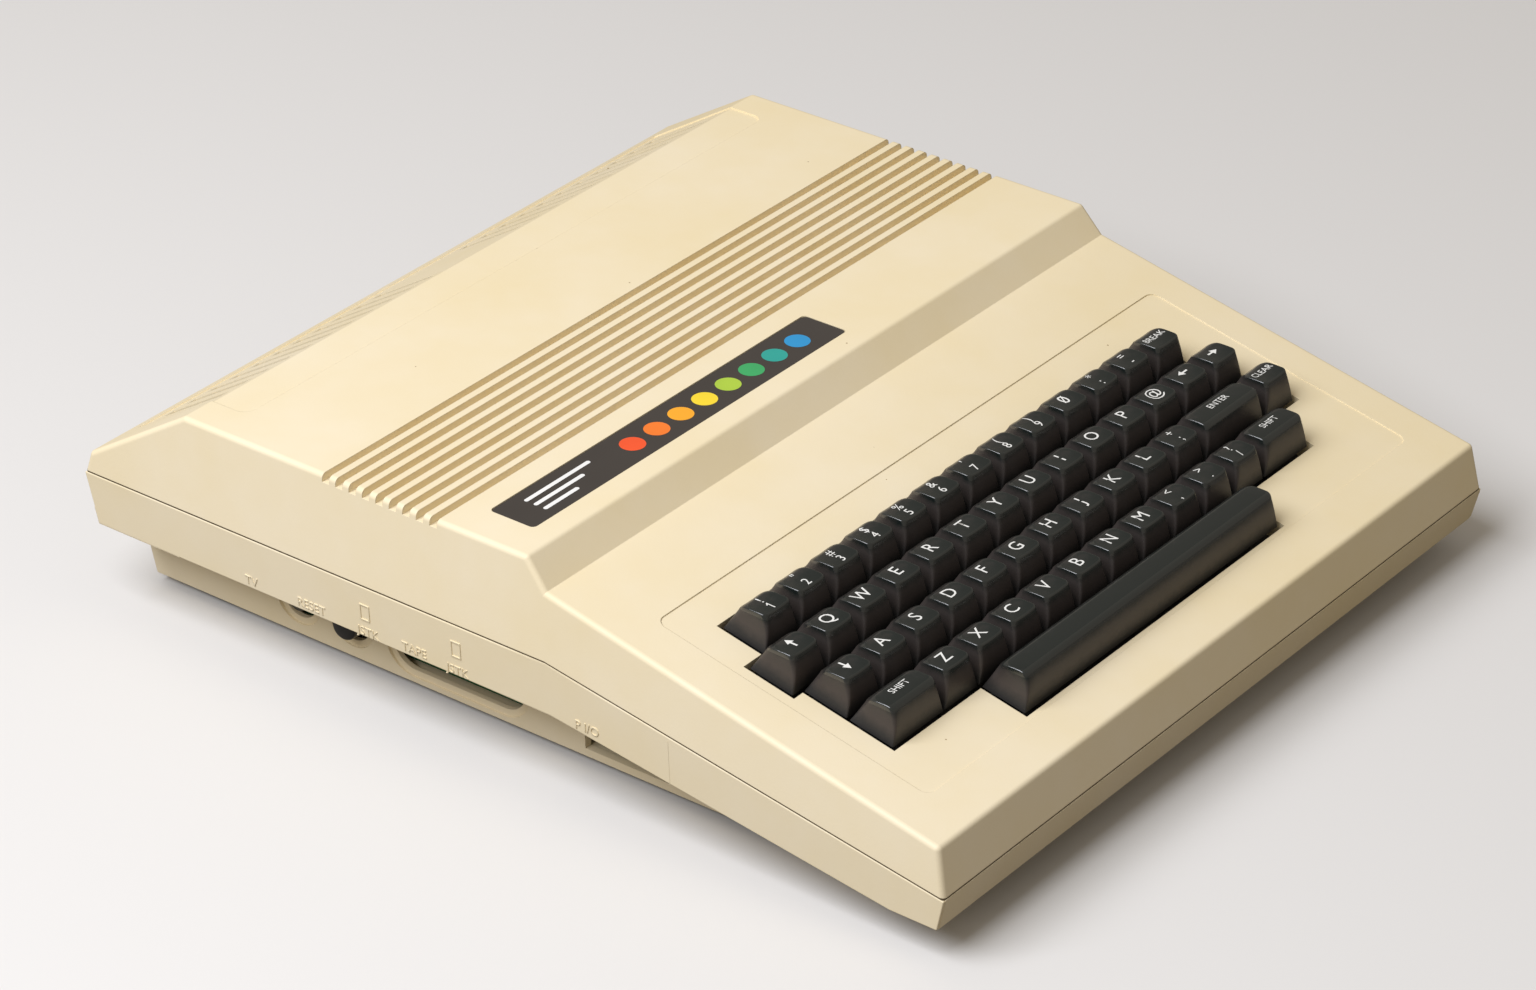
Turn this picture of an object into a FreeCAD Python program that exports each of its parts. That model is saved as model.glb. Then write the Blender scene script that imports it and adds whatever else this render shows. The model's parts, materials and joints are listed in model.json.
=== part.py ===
"""Vintage home computer: a wedge-shaped case with a full keyboard, taken apart into its pieces.

Millimetres. X to the right, Y to the rear, Z up, and the table is at Z = 0.
Everything is worked out from the front seam, and each finished piece is then
moved back by half the depth, so the origin is under the middle of the case.
"""
import FreeCAD
import Part
import Sketcher
import os

os.makedirs("parts", exist_ok=True)
doc = FreeCAD.newDocument("HomeComputer")
sheet = doc.addObject("Spreadsheet::Sheet", "Sizes")

SIZES = {
    # The whole case
    "case_width": 328,  # over the seam, left to right
    "case_depth": 376,  # over the seam, front to rear
    "wall": 3,  # shells
    "overrun": 4,  # how far a cut runs past the skin
    "touch_gap": 0.3,  # between pieces that fit into each other
    "edge_radius": 2,  # the upper case's rounded outer edges
    "round_sides": 20,  # flats round a small round piece or hole that shows
    "hidden_sides": 8,  # and round one inside the case
    # Feet, base box and the lower case's rim
    "foot_height": 3.5,
    "foot_length": 23,
    "foot_width": 12,
    "foot_inset": 3.5,
    "foot_end_gap": 19,  # foot to the end of the base box
    "base_height": 28.1,  # table side of the base box to the rim's underside
    "base_inset": 22,  # base box side wall, in from the seam
    "base_front": 30,
    "base_draft": 2,  # degrees
    "rim_height": 20.4,  # lower case above its underside, at the rear
    "rim_draft": 2.5,  # degrees
    "rim_rear_lean": 4.2,
    "rim_front_lean": 3,
    "rim_front_height": 12.6,
    "toe_length": 22,  # the level part of the underside behind the front edge
    "underside_kink": 163.5,
    # Seam and upper case
    "seam_kink": 164.3,  # where the seam turns from sloping to level
    "seam_slope": 9.37,  # degrees, in front of the kink
    "seam_groove": 0.7,
    "side_draft": 5.7,  # degrees, upper case
    "front_height": 18.1,
    "front_lean": 3.5,
    "deck_slope": 12.15,  # degrees
    "step_foot": 165.1,  # foot of the step between deck and plateau
    "step_run": 8.7,
    "plateau_height": 36.2,  # above the rear seam
    "rear_slope": 32,  # degrees
    "rear_band": 8.1,  # upright band above the rear seam
    "rear_lean": 2.3,
    # Grooves and badge plate on the plateau
    "grooves": 9,
    "groove_pitch": 6.03,
    "groove_width": 3.2,
    "groove_depth": 3,
    "groove_first": 214.2,  # front groove
    "groove_backing": 2.6,  # wall left under a groove
    "badge_length": 173,
    "badge_depth": 19.5,
    "badge_left": 19.3,
    "badge_front": 183.6,
    "badge_sink": 1,
    "badge_thickness": 0.8,
    "badge_corner": 2,
    # Rear recess and its vents
    "recess_left": 18.3,
    "recess_right": 18.5,
    "recess_front": 312.5,
    "recess_sink": 0.6,
    "recess_corner": 5,
    "recess_foot": 8,  # recess ends this far before the foot of the rear slope
    "vents": 11,  # slots in each of the two groups
    "vent_pitch": 11,
    "vent_width": 5,
    "vent_length": 34,
    "vent_group_gap": 38,
    "vent_top": 5,
    # Keyboard panel
    "panel_left": 19.8,
    "panel_right": 18.8,
    "panel_front": 17.6,
    "panel_depth": 114.1,
    "panel_sink": 0.4,
    "panel_corner": 4,
    # Keys, their frame and their board
    "key_pitch": 19.05,
    "keyboard_units": 14.25,  # widest rows, in key pitches
    "keyboard_rows": 5,
    "keys_left": 25.6,  # left edge of the second row of keys
    "keys_rear": 115.9,  # rear edge of the first row, up the deck
    "well_gap": 1.1,
    "well_skirt": 2,
    "well_depth": 8,
    "cap_gap": 0.45,  # half the gap between neighbouring caps
    "cap_height": 11.6,  # front edge of a cap's top, above the deck
    "space_height": 12.3,  # the same on the space bar
    "cap_drop": 1,  # cap skirt below the deck
    "cap_side_lean": 2.1,
    "cap_front_lean": 4.6,
    "cap_rear_lean": 2.9,
    "cap_wall": 1.3,
    "cap_crown": 4.4,  # front edge of the top down to the hollow
    "dish_radius": 42,
    "dish_sink": 0.55,
    "plunger": 4,
    "plunger_bore": 4.6,
    "plunger_foot": 0.4,
    "key_travel": 4,
    "space_post_reach": 57,
    "plate_thickness": 1.5,
    "plate_margin": 3,
    "collar": 12.6,
    "collar_height": 3.7,
    "board_thickness": 1.6,
    "spacer": 8,
    # Case screws and their posts
    "boss_radius": 5,
    "boss_front": 46,  # front pair, from the front seam
    "boss_front_side": 13,  # and in from the side
    "boss_middle": 135,
    "boss_rear": 30,  # rear pair, from the rear seam
    "boss_side": 24,  # middle and rear pairs, in from the base's wall
    "screw_shaft": 1.5,
    "screw_hole": 1.8,
    "screw_head": 3.1,
    "screw_head_height": 2.4,
    "screw_recess": 3.6,
    "screw_recess_depth": 9,
    "screw_rim_grip": 10,  # under the seam, front pair
    "screw_grip": 10,  # above the seam
    # Main board
    "board_rise": 1.6,  # main board above the base's floor
    "board_side_gap": 3,
    "board_front_gap": 8,
    "board_rear_gap": 20,
    "standoff": 4,
    "standoff_inset": 40,
    # Ports and controls in the left wall
    "port_rim": 2.6,  # shallow sink round each port in the left wall
    "port_sink": 0.8,
    "din_pitch": 20.4,
    "din_first": 202.4,
    "din_count": 3,
    "din_slot_radius": 9.5,
    "din_block": 18,
    "din_block_height": 16,
    "din_block_depth": 12,
    "din_set_back": 5.4,
    "din_radius": 7.4,
    "din_core_radius": 5.9,
    "din_bore_depth": 7,
    "tv_place": 296.3,
    "tv_hole": 7.6,
    "tv_box_length": 46,
    "tv_box_width": 40,
    "tv_box_height": 20,
    "tv_jack_radius": 4.15,
    "tv_jack_bore": 1.7,
    "tv_jack_bore_depth": 14,
    "tv_jack_reach": 8,
    "reset_place": 271.3,
    "reset_hole": 7.6,
    "reset_radius": 5.2,
    "reset_proud": 6,
    "reset_flange": 1.2,
    "reset_stem": 2.5,
    "reset_travel": 3,
    "reset_switch": 12,
    "printer_place": 147,
    "printer_window": 38,
    "printer_window_height": 16,
    "printer_window_foot": 3.1,
    "printer_body": 33,
    "printer_body_height": 9,
    "printer_body_depth": 9,
    "printer_wall": 1.2,
    # Cartridge opening, flap and socket
    "cartridge_place": 205,
    "cartridge_width": 104,
    "cartridge_height": 18,
    "cartridge_depth": 60,
    "flap_thickness": 2,
    "flap_pin_radius": 1.5,
    "flap_gap": 0.4,
    "flap_lap": 1.5,
    "flap_pin_reach": 2.5,
    "lug": 7,
    "lug_width": 4,
    "connector_length": 70,
    "connector_width": 12,
    "connector_height": 12,
    "connector_slot": 2,
    "connector_slot_depth": 7,
    # Power switch and power inlet
    "switch_place": 92,  # right of the middle, on the rear wall
    "switch_width": 22,
    "switch_height": 15,
    "switch_depth": 16,
    "switch_flange": 2,
    "switch_wall": 1.6,
    "rocker_gap": 0.5,
    "rocker_thickness": 6,
    "rocker_proud": 1.5,
    "rocker_throw": 12,  # degrees, either way from the middle
    "rocker_pin_radius": 0.9,
    "rocker_pin_reach": 0.6,  # how far a pin goes into the switch's wall
    "switch_inset": 1,
    "rear_port_height": 16,
    "inlet_place": 50,
    "inlet_width": 34,
    "inlet_height": 15,
    "inlet_depth": 14,
    "inlet_lip": 1.5,
    "inlet_sink": 6,
    # Chips and power board
    "chip_long": 52,
    "chip_wide": 14,
    "chip_high": 4,
    "chip_ram": 20,
    "chip_ram_wide": 7,
    "chip_row_pitch": 22,
    "chip_column_pitch": 13,
    "power_board_width": 90,
    "power_board_depth": 62,
    "power_board_lift": 12,
    "power_board_place": 64,
    "power_board_front": 282,
    "sink_length": 70,
    "sink_height": 26,
    "sink_thickness": 2,
    "sink_foot": 14,
    "sink_fins": 5,
    "sink_fin_reach": 8,
    "capacitor_radius": 9,
    "capacitor_length": 30,
}

for row, (name, number) in enumerate(SIZES.items(), 1):
    sheet.set("A%d" % row, name)
    sheet.set("B%d" % row, str(number))
    sheet.setAlias("B%d" % row, name)
doc.recompute()


def ex(text):
    """Write a sum over the size names as an expression that FreeCAD can bind."""
    out, word = "", ""
    for letter in text + " ":
        if letter.isalnum() or letter == "_":
            word += letter
            continue
        out += "Sizes." + word if word in SIZES else word
        out += letter
        word = ""
    return out.strip()


def value(text):
    """The number that a sum over the size names comes to now."""
    number = sheet.evalExpression(ex(text))
    return float(getattr(number, "Value", number))


def bind(thing, **sums):
    """Tie properties of an object to sums over the size names."""
    for name, text in sums.items():
        thing.setExpression(name, ex(text))
    return thing


def place(thing, x="0", y="0", z="0", turn=None, axis=(1, 0, 0)):
    """Tie an object's place, and the angle that it is turned by, to sums."""
    if turn is not None:
        thing.Placement = FreeCAD.Placement(
            FreeCAD.Vector(0, 0, 0), FreeCAD.Rotation(FreeCAD.Vector(*axis), value(turn)))
        thing.setExpression(".Placement.Rotation.Angle", ex(turn))
    for letter, text in zip("xyz", (x, y, z)):
        thing.setExpression(".Placement.Base." + letter, ex(text))
    return thing


def on_deck(thing, x="0", s="0", n="0"):
    """Place an object in the deck's own frame: x across, s up the slope, n out of the deck."""
    y = f"front_lean + ({s}) * cos(deck_slope) - ({n}) * sin(deck_slope)"
    z = f"{DECK_FRONT_Z} + ({s}) * sin(deck_slope) + ({n}) * cos(deck_slope)"
    return place(thing, x, y, z, turn="deck_slope")


def box(name, x, y, z, centred="", at=("0", "0", "0")):
    """A block by its three lengths. Letters in centred are the axes that it is centred on."""
    block = doc.addObject("Part::Box", name)
    bind(block, Length=x, Width=y, Height=z)
    corner = []
    for letter, length, start in zip("xyz", (x, y, z), at):
        corner.append(f"({start}) - ({length}) / 2" if letter in centred else start)
    return place(block, *corner)


def rod(name, radius, length, along="z", at=("0", "0", "0")):
    """A round bar from its start point along +X, +Y or +Z."""
    bar = doc.addObject("Part::Cylinder", name)
    bind(bar, Radius=radius, Height=length)
    axis = {"x": (0, 1, 0), "y": (-1, 0, 0), "z": (0, 0, 1)}[along]
    return place(bar, *at, turn="0" if along == "z" else "90", axis=axis)


def prism(name, radius, length, along="z", at=("0", "0", "0"), sides="round_sides"):
    """A bar with flat sides in place of a round one, from its start point along +X, +Y or +Z."""
    bar = doc.addObject("Part::Prism", name)
    bind(bar, Circumradius=radius, Height=length, Polygon=sides)
    axis = {"x": (0, 1, 0), "y": (-1, 0, 0), "z": (0, 0, 1)}[along]
    return place(bar, *at, turn="0" if along == "z" else "90", axis=axis)


def taper(name, bottom, top, low, high):
    """A block with a smaller or larger top: bottom and top are (left, right, front, rear)."""
    wedge = doc.addObject("Part::Wedge", name)
    left, right, front, rear = bottom
    left2, right2, front2, rear2 = top
    bind(wedge, Xmin=left, Xmax=right, Zmin=f"-({rear})", Zmax=f"-({front})",
         X2min=left2, X2max=right2, Z2min=f"-({rear2})", Z2max=f"-({front2})",
         Ymin=low, Ymax=high)
    return place(wedge, turn="90")


def cut(name, base, *tools):
    """Base less every tool."""
    tool = tools[0] if len(tools) == 1 else join(name + "_tools", *tools)
    result = doc.addObject("Part::Cut", name)
    result.Base = base
    result.Tool = tool
    return result


def join(name, *pieces):
    """Pieces made into one solid."""
    result = doc.addObject("Part::MultiFuse", name)
    result.Shapes = list(pieces)
    return result


def common(name, *pieces):
    """What the pieces share."""
    result = doc.addObject("Part::MultiCommon", name)
    result.Shapes = list(pieces)
    return result


def group(name, *pieces):
    """Separate solids kept together as one node."""
    result = doc.addObject("Part::Compound", name)
    result.Links = list(pieces)
    return result


def side_profile(name, width, corners):
    """A closed outline of (y, z) sums, drawn in the side view and drawn out across the case."""
    sketch = doc.addObject("Sketcher::SketchObject", name + "_outline")
    turned = FreeCAD.Rotation(FreeCAD.Vector(1, 1, 1), 120)
    sketch.Placement = FreeCAD.Placement(FreeCAD.Vector(0, 0, 0), turned)
    spots = [FreeCAD.Vector(value(y), value(z), 0) for y, z in corners]
    count = len(spots)
    for i in range(count):
        sketch.addGeometry(Part.LineSegment(spots[i], spots[(i + 1) % count]), False)
    for i in range(count):
        sketch.addConstraint(Sketcher.Constraint("Coincident", i, 2, (i + 1) % count, 1))
    for i, (y, z) in enumerate(corners):
        for way, text, now in (("DistanceX", y, spots[i].x), ("DistanceY", z, spots[i].y)):
            rule = sketch.addConstraint(Sketcher.Constraint(way, -1, 1, i, 1, now))
            sketch.setExpression("Constraints[%d]" % rule, ex(text))
    block = doc.addObject("Part::Extrusion", name)
    block.Base = sketch
    block.DirMode = "Normal"
    block.Solid = True
    block.Symmetric = True
    bind(block, LengthFwd=width)
    return block


# Heights above the table and distances from the front seam
BASE_Z = "foot_height"
SEAM_DROP = "(seam_kink * tan(seam_slope))"
UNDERSIDE_Z = "(foot_height + base_height)"
SEAM_REAR_Z = "(foot_height + base_height + rim_height)"
SEAM_FRONT_Z = f"({SEAM_REAR_Z} - {SEAM_DROP})"
TOE_Z = f"({SEAM_FRONT_Z} - rim_front_height)"
DECK_FRONT_Z = f"({SEAM_FRONT_Z} + front_height)"
STEP_FOOT_Z = f"({DECK_FRONT_Z} + (step_foot - front_lean) * tan(deck_slope))"
TOP_Z = f"({SEAM_REAR_Z} + plateau_height)"
BAND_Z = f"({SEAM_REAR_Z} + rear_band)"
BAND_Y = "(case_depth - rear_lean)"
RIDGE_Y = f"({BAND_Y} - (plateau_height - rear_band) / tan(rear_slope))"
HALF = "(case_width / 2)"
BASE_HALF = "(case_width / 2 - base_inset)"
BASE_REAR = "(case_depth - rim_rear_lean - base_height * rim_rear_lean / rim_height)"


def shave_sides(name, block, half_width, draft, way, reach):
    """Lean the four side faces of a block in, above (way 1) or below (way -1) the kinked seam."""
    tools = []
    for side in (-1, 1):
        for part, start_y, start_z, turn in (
                ("front", "0", SEAM_FRONT_Z, "seam_slope"),
                ("rear", "seam_kink", SEAM_REAR_Z, "0")):
            tool = doc.addObject("Part::Wedge", f"{name}_{part}_{'left' if side < 0 else 'right'}")
            near = f"{side} * {half_width}"
            far = f"{side} * ({half_width} + overrun)"
            leant = f"{side} * ({half_width} - ({reach}) * tan({draft}))"
            low_x, high_x = (far, near) if side < 0 else (near, far)
            low_x2, high_x2 = (far, leant) if side < 0 else (leant, far)
            if way > 0:
                bind(tool, Ymin="0", Ymax=reach, Xmin=low_x, Xmax=high_x,
                     X2min=low_x2, X2max=high_x2)
            else:
                bind(tool, Ymin=f"-({reach})", Ymax="0", Xmin=low_x2, Xmax=high_x2,
                     X2min=low_x, X2max=high_x)
            bind(tool, Zmin="-case_depth", Zmax="seam_kink", Z2min="-case_depth", Z2max="seam_kink")
            tools.append(place(tool, "0", start_y, start_z, turn=f"90 + {turn}"))
    return cut(name, block, *tools)


# Key rows from the rear: first key's left edge and the keys' widths, in key pitches.
# The left edges are counted from the left edge of the second row.
TOP_ROW = "one two three four five six seven eight nine zero colon minus break".split()
ROWS = [
    ("first", 0.5, [(name, 1) for name in TOP_ROW]),
    ("second", 0.0, [(name, 1) for name in "up q w e r t y u i o p at left right".split()]),
    ("third", 0.25, [(name, 1) for name in "down a s d f g h j k l semicolon".split()]
     + [("enter", 2), ("clear", 1)]),
    ("fourth", 0.25, [("shift_left", 1.5)]
     + [(name, 1) for name in "z x c v b n m comma period slash".split()]
     + [("shift_right", 1.5)]),
    ("fifth", 2.75, [("space", 8)]),
]
KEYS = []
for row_number, (row_name, start, caps) in enumerate(ROWS):
    for cap_name, units in caps:
        KEYS.append((row_number, cap_name, start, units))
        start += units


def key_x(start, units):
    """Middle of a key, from the middle of the case."""
    return f"(keys_left - {HALF} + ({start} + {units} / 2) * key_pitch)"


def key_s(row_number):
    """Middle of a row, up the deck from its front edge."""
    return f"(keys_rear - ({row_number} + 1 / 2) * key_pitch)"


def row_boxes(name, grow, low, high):
    """One block for each row of keys, grown by a margin all round, in the deck's own frame."""
    blocks = []
    for row_number, (row_name, start, caps) in enumerate(ROWS):
        units = sum(width for cap_name, width in caps)
        blocks.append(box(
            f"{name}_{row_name}", f"{units} * key_pitch + 2 * ({grow})",
            f"key_pitch + 2 * ({grow})", f"({high}) - ({low})", centred="xy",
            at=(key_x(start, units), key_s(row_number), low)))
    return blocks


def plungers_of(units):
    """Places of a cap's plungers, across from its middle."""
    return ["-space_post_reach", "0", "space_post_reach"] if units > 4 else ["0"]


def keycap(name, units, height):
    """A hollow cap about its own middle, with its plungers: a level top on the sloping deck."""
    half = f"({units} * key_pitch / 2 - cap_gap)"
    deep = "(key_pitch / 2 - cap_gap)"
    outer = taper(
        name + "_outer", (f"-{half}", half, f"-{deep}", deep),
        (f"-{half} + cap_side_lean", f"{half} - cap_side_lean",
         f"-{deep} + cap_front_lean", f"{deep} - cap_rear_lean"),
        "-cap_drop", height)
    share = f"(1 - cap_crown / ({height} + cap_drop))"
    inner = taper(
        name + "_inner",
        (f"-{half} + cap_wall", f"{half} - cap_wall", f"-{deep} + cap_wall", f"{deep} - cap_wall"),
        (f"-{half} + cap_wall + cap_side_lean * {share}",
         f"{half} - cap_wall - cap_side_lean * {share}",
         f"-{deep} + cap_wall + cap_front_lean * {share}",
         f"{deep} - cap_wall - cap_rear_lean * {share}"),
        "-cap_drop", f"{height} - cap_crown")
    stems = [box(f"{name}_plunger_{i}", "plunger", "plunger",
                 f"{height} - cap_crown + plunger_foot + well_depth", centred="xy",
                 at=(across, "0", "-well_depth - plunger_foot"))
             for i, across in enumerate(plungers_of(units))]
    shell = join(name + "_solid", cut(name + "_shell", outer, inner), *stems)
    reach = f"2 * {deep} + 2 * overrun"
    if units > 1:
        tool = box(name + "_slice", f"2 * {half} + 2 * overrun", reach, "overrun", centred="x",
                   at=("0", "-overrun", "0"))
    else:
        tool = rod(name + "_dish", "dish_radius", reach, "y",
                   at=("0", "-overrun", "dish_radius - dish_sink"))
    level = place(group(name + "_level", tool), y=f"cap_front_lean - {deep}", z=height,
                  turn="-deck_slope")
    return cut(name + "_topped", shell, level)


NODES = []


def node(name, shape, moved=True):
    """Name a finished piece and, unless it is placed already, set it about the case's middle."""
    shape.Label = name
    if moved:
        shape.setExpression(".Placement.Base.y", ex("-case_depth / 2"))
    NODES.append(shape)
    return shape


# Upper case
skin = side_profile("upper_skin", "case_width", [
    ("0", SEAM_FRONT_Z), ("front_lean", DECK_FRONT_Z), ("step_foot", STEP_FOOT_Z),
    ("step_foot + step_run", TOP_Z), (RIDGE_Y, TOP_Z), (BAND_Y, BAND_Z),
    ("case_depth", SEAM_REAR_Z), ("seam_kink", SEAM_REAR_Z)])
skin = shave_sides("upper_block", skin, HALF, "side_draft", 1, f"plateau_height + {SEAM_DROP}")
doc.recompute()


def outer_edges(shape):
    """Convex edges above the seam, as fillet entries: the rounded edges of the upper case."""
    radius = value("edge_radius")
    chosen = []
    for number, edge in enumerate(shape.Edges, 1):
        ends = [vertex.Point for vertex in edge.Vertexes]
        on_seam = all(seam_height(p.y) + radius > p.z for p in ends)
        in_step = all(abs(p.y - value("step_foot")) < radius for p in ends)
        across_side = abs(ends[0].y - value("seam_kink")) + abs(ends[-1].y - value("seam_kink"))
        if not on_seam and not in_step and across_side > 4 * radius:
            chosen.append((number, radius, radius))
    return chosen


def seam_height(y):
    """Height of the seam at a distance from the front."""
    rise = value(SEAM_DROP) * min(y / value("seam_kink"), 1)
    return value(SEAM_FRONT_Z) + rise


rounded = doc.addObject("Part::Fillet", "upper_rounded")
rounded.Base = skin
rounded.Edges = outer_edges(skin.Shape)

backing = "(groove_depth + groove_backing)"
hollow = side_profile("upper_hollow", "case_width - 2 * wall", [
    ("wall", f"{SEAM_FRONT_Z} - overrun"),
    ("wall + front_lean", f"{DECK_FRONT_Z} - wall"),
    ("step_foot + wall", f"{STEP_FOOT_Z} - wall"),
    ("step_foot + step_run + wall", f"{TOP_Z} - wall"),
    ("groove_first - groove_pitch", f"{TOP_Z} - wall"),
    ("groove_first - groove_pitch", f"{TOP_Z} - {backing}"),
    ("groove_first + grooves * groove_pitch", f"{TOP_Z} - {backing}"),
    ("groove_first + grooves * groove_pitch", f"{TOP_Z} - wall"),
    (f"{RIDGE_Y} - wall / 2", f"{TOP_Z} - wall"),
    (f"{BAND_Y} - wall", f"{BAND_Z} - wall / 2"),
    ("case_depth - wall", f"{SEAM_REAR_Z} - overrun")])
hollow = shave_sides("upper_cavity", hollow, f"({HALF} - wall)", "side_draft", 1,
                     f"plateau_height + {SEAM_DROP}")

grooves = [box(f"groove_{i}", "case_width", "groove_width", "groove_depth + overrun", centred="xy",
               at=("0", f"groove_first + {i} * groove_pitch", f"{TOP_Z} - groove_depth"))
           for i in range(int(value("grooves")))]


def rounded_plate(name, length, width, height, corner, at):
    """A flat block with rounded corners, by its left front corner."""
    block = box(name + "_block", length, width, height, at=at)
    doc.recompute()
    upright = [i for i, edge in enumerate(block.Shape.Edges, 1)
               if abs(edge.Vertexes[0].Point.z - edge.Vertexes[-1].Point.z) > value(height) / 2]
    plate = doc.addObject("Part::Fillet", name)
    plate.Base = block
    plate.Edges = [(i, value(corner), value(corner)) for i in upright]
    return plate


badge_seat = rounded_plate(
    "badge_seat", "badge_length", "badge_depth", "badge_sink + overrun", "badge_corner",
    (f"badge_left - {HALF}", "badge_front", f"{TOP_Z} - badge_sink"))
panel = rounded_plate(
    "panel_recess", "case_width - panel_left - panel_right", "panel_depth",
    "panel_sink + overrun", "panel_corner", (f"panel_left - {HALF}", "panel_front", "-panel_sink"))
panel = on_deck(group("panel_on_deck", panel))

recess_width = "(case_width - recess_left - recess_right)"
recess_middle = "((recess_left - recess_right) / 2)"
recess_flat = rounded_plate(
    "recess_flat", recess_width, f"{RIDGE_Y} + recess_corner - recess_front",
    "recess_sink + overrun", "recess_corner",
    (f"recess_left - {HALF}", "recess_front", f"{TOP_Z} - recess_sink"))
recess_ridge_y = f"({RIDGE_Y} - recess_sink * tan(rear_slope / 2))"
recess_slope = side_profile("recess_slope", recess_width, [
    (recess_ridge_y, f"{TOP_Z} + overrun"),
    (recess_ridge_y, f"{TOP_Z} - recess_sink"),
    (f"{BAND_Y} - recess_foot * cos(rear_slope) - recess_sink * sin(rear_slope)",
     f"{BAND_Z} + recess_foot * sin(rear_slope) - recess_sink * cos(rear_slope)"),
    (f"{BAND_Y} - recess_foot * cos(rear_slope) + overrun * sin(rear_slope)",
     f"{BAND_Z} + recess_foot * sin(rear_slope) + overrun * cos(rear_slope)"),
    (f"{RIDGE_Y} + overrun", f"{TOP_Z} + overrun")])
place(recess_slope, x=recess_middle)

vent_tools = []
for side in (-1, 1):
    for i in range(int(value("vents"))):
        across = f"{recess_middle} + {side} * (vent_group_gap / 2 + ({i} + 1 / 2) * vent_pitch)"
        vent_tools.append(box(
            f"vent_{'left' if side < 0 else 'right'}_{i}", "vent_width", "vent_length",
            "4 * wall", centred="xz", at=(across, "vent_top", "0")))
vents = place(group("vents_on_slope", *vent_tools), y=RIDGE_Y, z=TOP_Z, turn="-rear_slope")

well_walls = on_deck(join("well_walls", *row_boxes(
    "well_wall", "well_gap + well_skirt", "-well_depth", "-wall / 2")))
well = on_deck(join("well", *row_boxes("well", "well_gap", "-well_depth - overrun", "overrun")))

strip_low = side_profile("seam_strip", "case_width + 2 * overrun", [
    ("-overrun", f"{SEAM_FRONT_Z} - overrun * tan(seam_slope)"),
    ("seam_kink", SEAM_REAR_Z), ("case_depth + overrun", SEAM_REAR_Z),
    ("case_depth + overrun", f"{SEAM_REAR_Z} + seam_groove"),
    ("seam_kink", f"{SEAM_REAR_Z} + seam_groove"),
    ("-overrun", f"{SEAM_FRONT_Z} - overrun * tan(seam_slope) + seam_groove")])
strip_core = side_profile("seam_core", "case_width - 2 * seam_groove", [
    ("seam_groove", f"{SEAM_FRONT_Z} - overrun"),
    ("case_depth - seam_groove", f"{SEAM_FRONT_Z} - overrun"),
    ("case_depth - seam_groove", TOP_Z), ("seam_groove", TOP_Z)])
seam_groove = cut("seam_groove_ring", strip_low, strip_core)

# Case screws: side, distance across, distance from the front, height of the seam and of the seat
BOSSES = []
for side in (-1, 1):
    seam = f"({SEAM_FRONT_Z} + boss_front * tan(seam_slope))"
    BOSSES.append((f"{side} * ({HALF} - boss_front_side)", "boss_front", seam,
                   f"({seam} - screw_rim_grip)"))
    seam = f"({SEAM_FRONT_Z} + boss_middle * tan(seam_slope))"
    BOSSES.append((f"{side} * ({BASE_HALF} - boss_side)", "boss_middle", seam,
                   "(foot_height + screw_recess_depth)"))
    BOSSES.append((f"{side} * ({BASE_HALF} - boss_side)", "(case_depth - boss_rear)", SEAM_REAR_Z,
                   "(foot_height + screw_recess_depth)"))


def boss_rods(name, radius, start, end, sides="hidden_sides"):
    """One upright bar at each of the six case screws, between two heights at each."""
    bars = []
    for i, (x, y, seam, seat) in enumerate(BOSSES):
        low = start.replace("SEAM", seam).replace("SEAT", seat)
        high = end.replace("SEAM", seam).replace("SEAT", seat)
        bars.append(prism(f"{name}_{i}", radius, f"({high}) - ({low})", at=(x, y, low),
                          sides=sides))
    return bars


upper_posts = common("upper_posts", join("upper_post_rods", *boss_rods(
    "upper_post", "boss_radius", "SEAM", TOP_Z)), rounded)
upper_pilots = boss_rods("upper_pilot", "screw_hole", "SEAM - overrun", "SEAM + screw_grip")
shell = cut("upper_shell", rounded, hollow)
shell = join("upper_with_posts", shell, upper_posts, well_walls)
upper = cut("upper_case_piece", shell, well, *grooves, badge_seat, panel, recess_flat,
            recess_slope, vents, seam_groove, *upper_pilots)
node("upper_case", upper)

badge = rounded_plate(
    "badge", "badge_length - 2 * touch_gap", "badge_depth - 2 * touch_gap", "badge_thickness",
    "badge_corner", (f"badge_left + touch_gap - {HALF}", "badge_front + touch_gap",
                     f"{TOP_Z} - badge_sink"))
node("badge_plate", badge)

# Lower case
rim = side_profile("rim_skin", "case_width", [
    ("0", SEAM_FRONT_Z), ("seam_kink", SEAM_REAR_Z), ("case_depth", SEAM_REAR_Z),
    ("case_depth - rim_rear_lean", UNDERSIDE_Z), ("underside_kink", UNDERSIDE_Z),
    ("toe_length", TOE_Z), ("rim_front_lean", TOE_Z)])
rim = shave_sides("rim_block", rim, HALF, "rim_draft", -1, f"rim_height + {SEAM_DROP}")
rim_hollow = side_profile("rim_hollow", "case_width - 2 * wall", [
    ("wall", f"{SEAM_REAR_Z} + overrun"), ("case_depth - wall", f"{SEAM_REAR_Z} + overrun"),
    ("case_depth - wall", SEAM_REAR_Z),
    ("case_depth - rim_rear_lean - wall", f"{UNDERSIDE_Z} + wall"),
    ("underside_kink", f"{UNDERSIDE_Z} + wall"), ("toe_length", f"{TOE_Z} + wall"),
    ("rim_front_lean + wall", f"{TOE_Z} + wall"), ("wall", SEAM_FRONT_Z)])
rim_hollow = shave_sides("rim_cavity", rim_hollow, f"({HALF} - wall)", "rim_draft", -1,
                         f"rim_height + {SEAM_DROP}")

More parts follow.
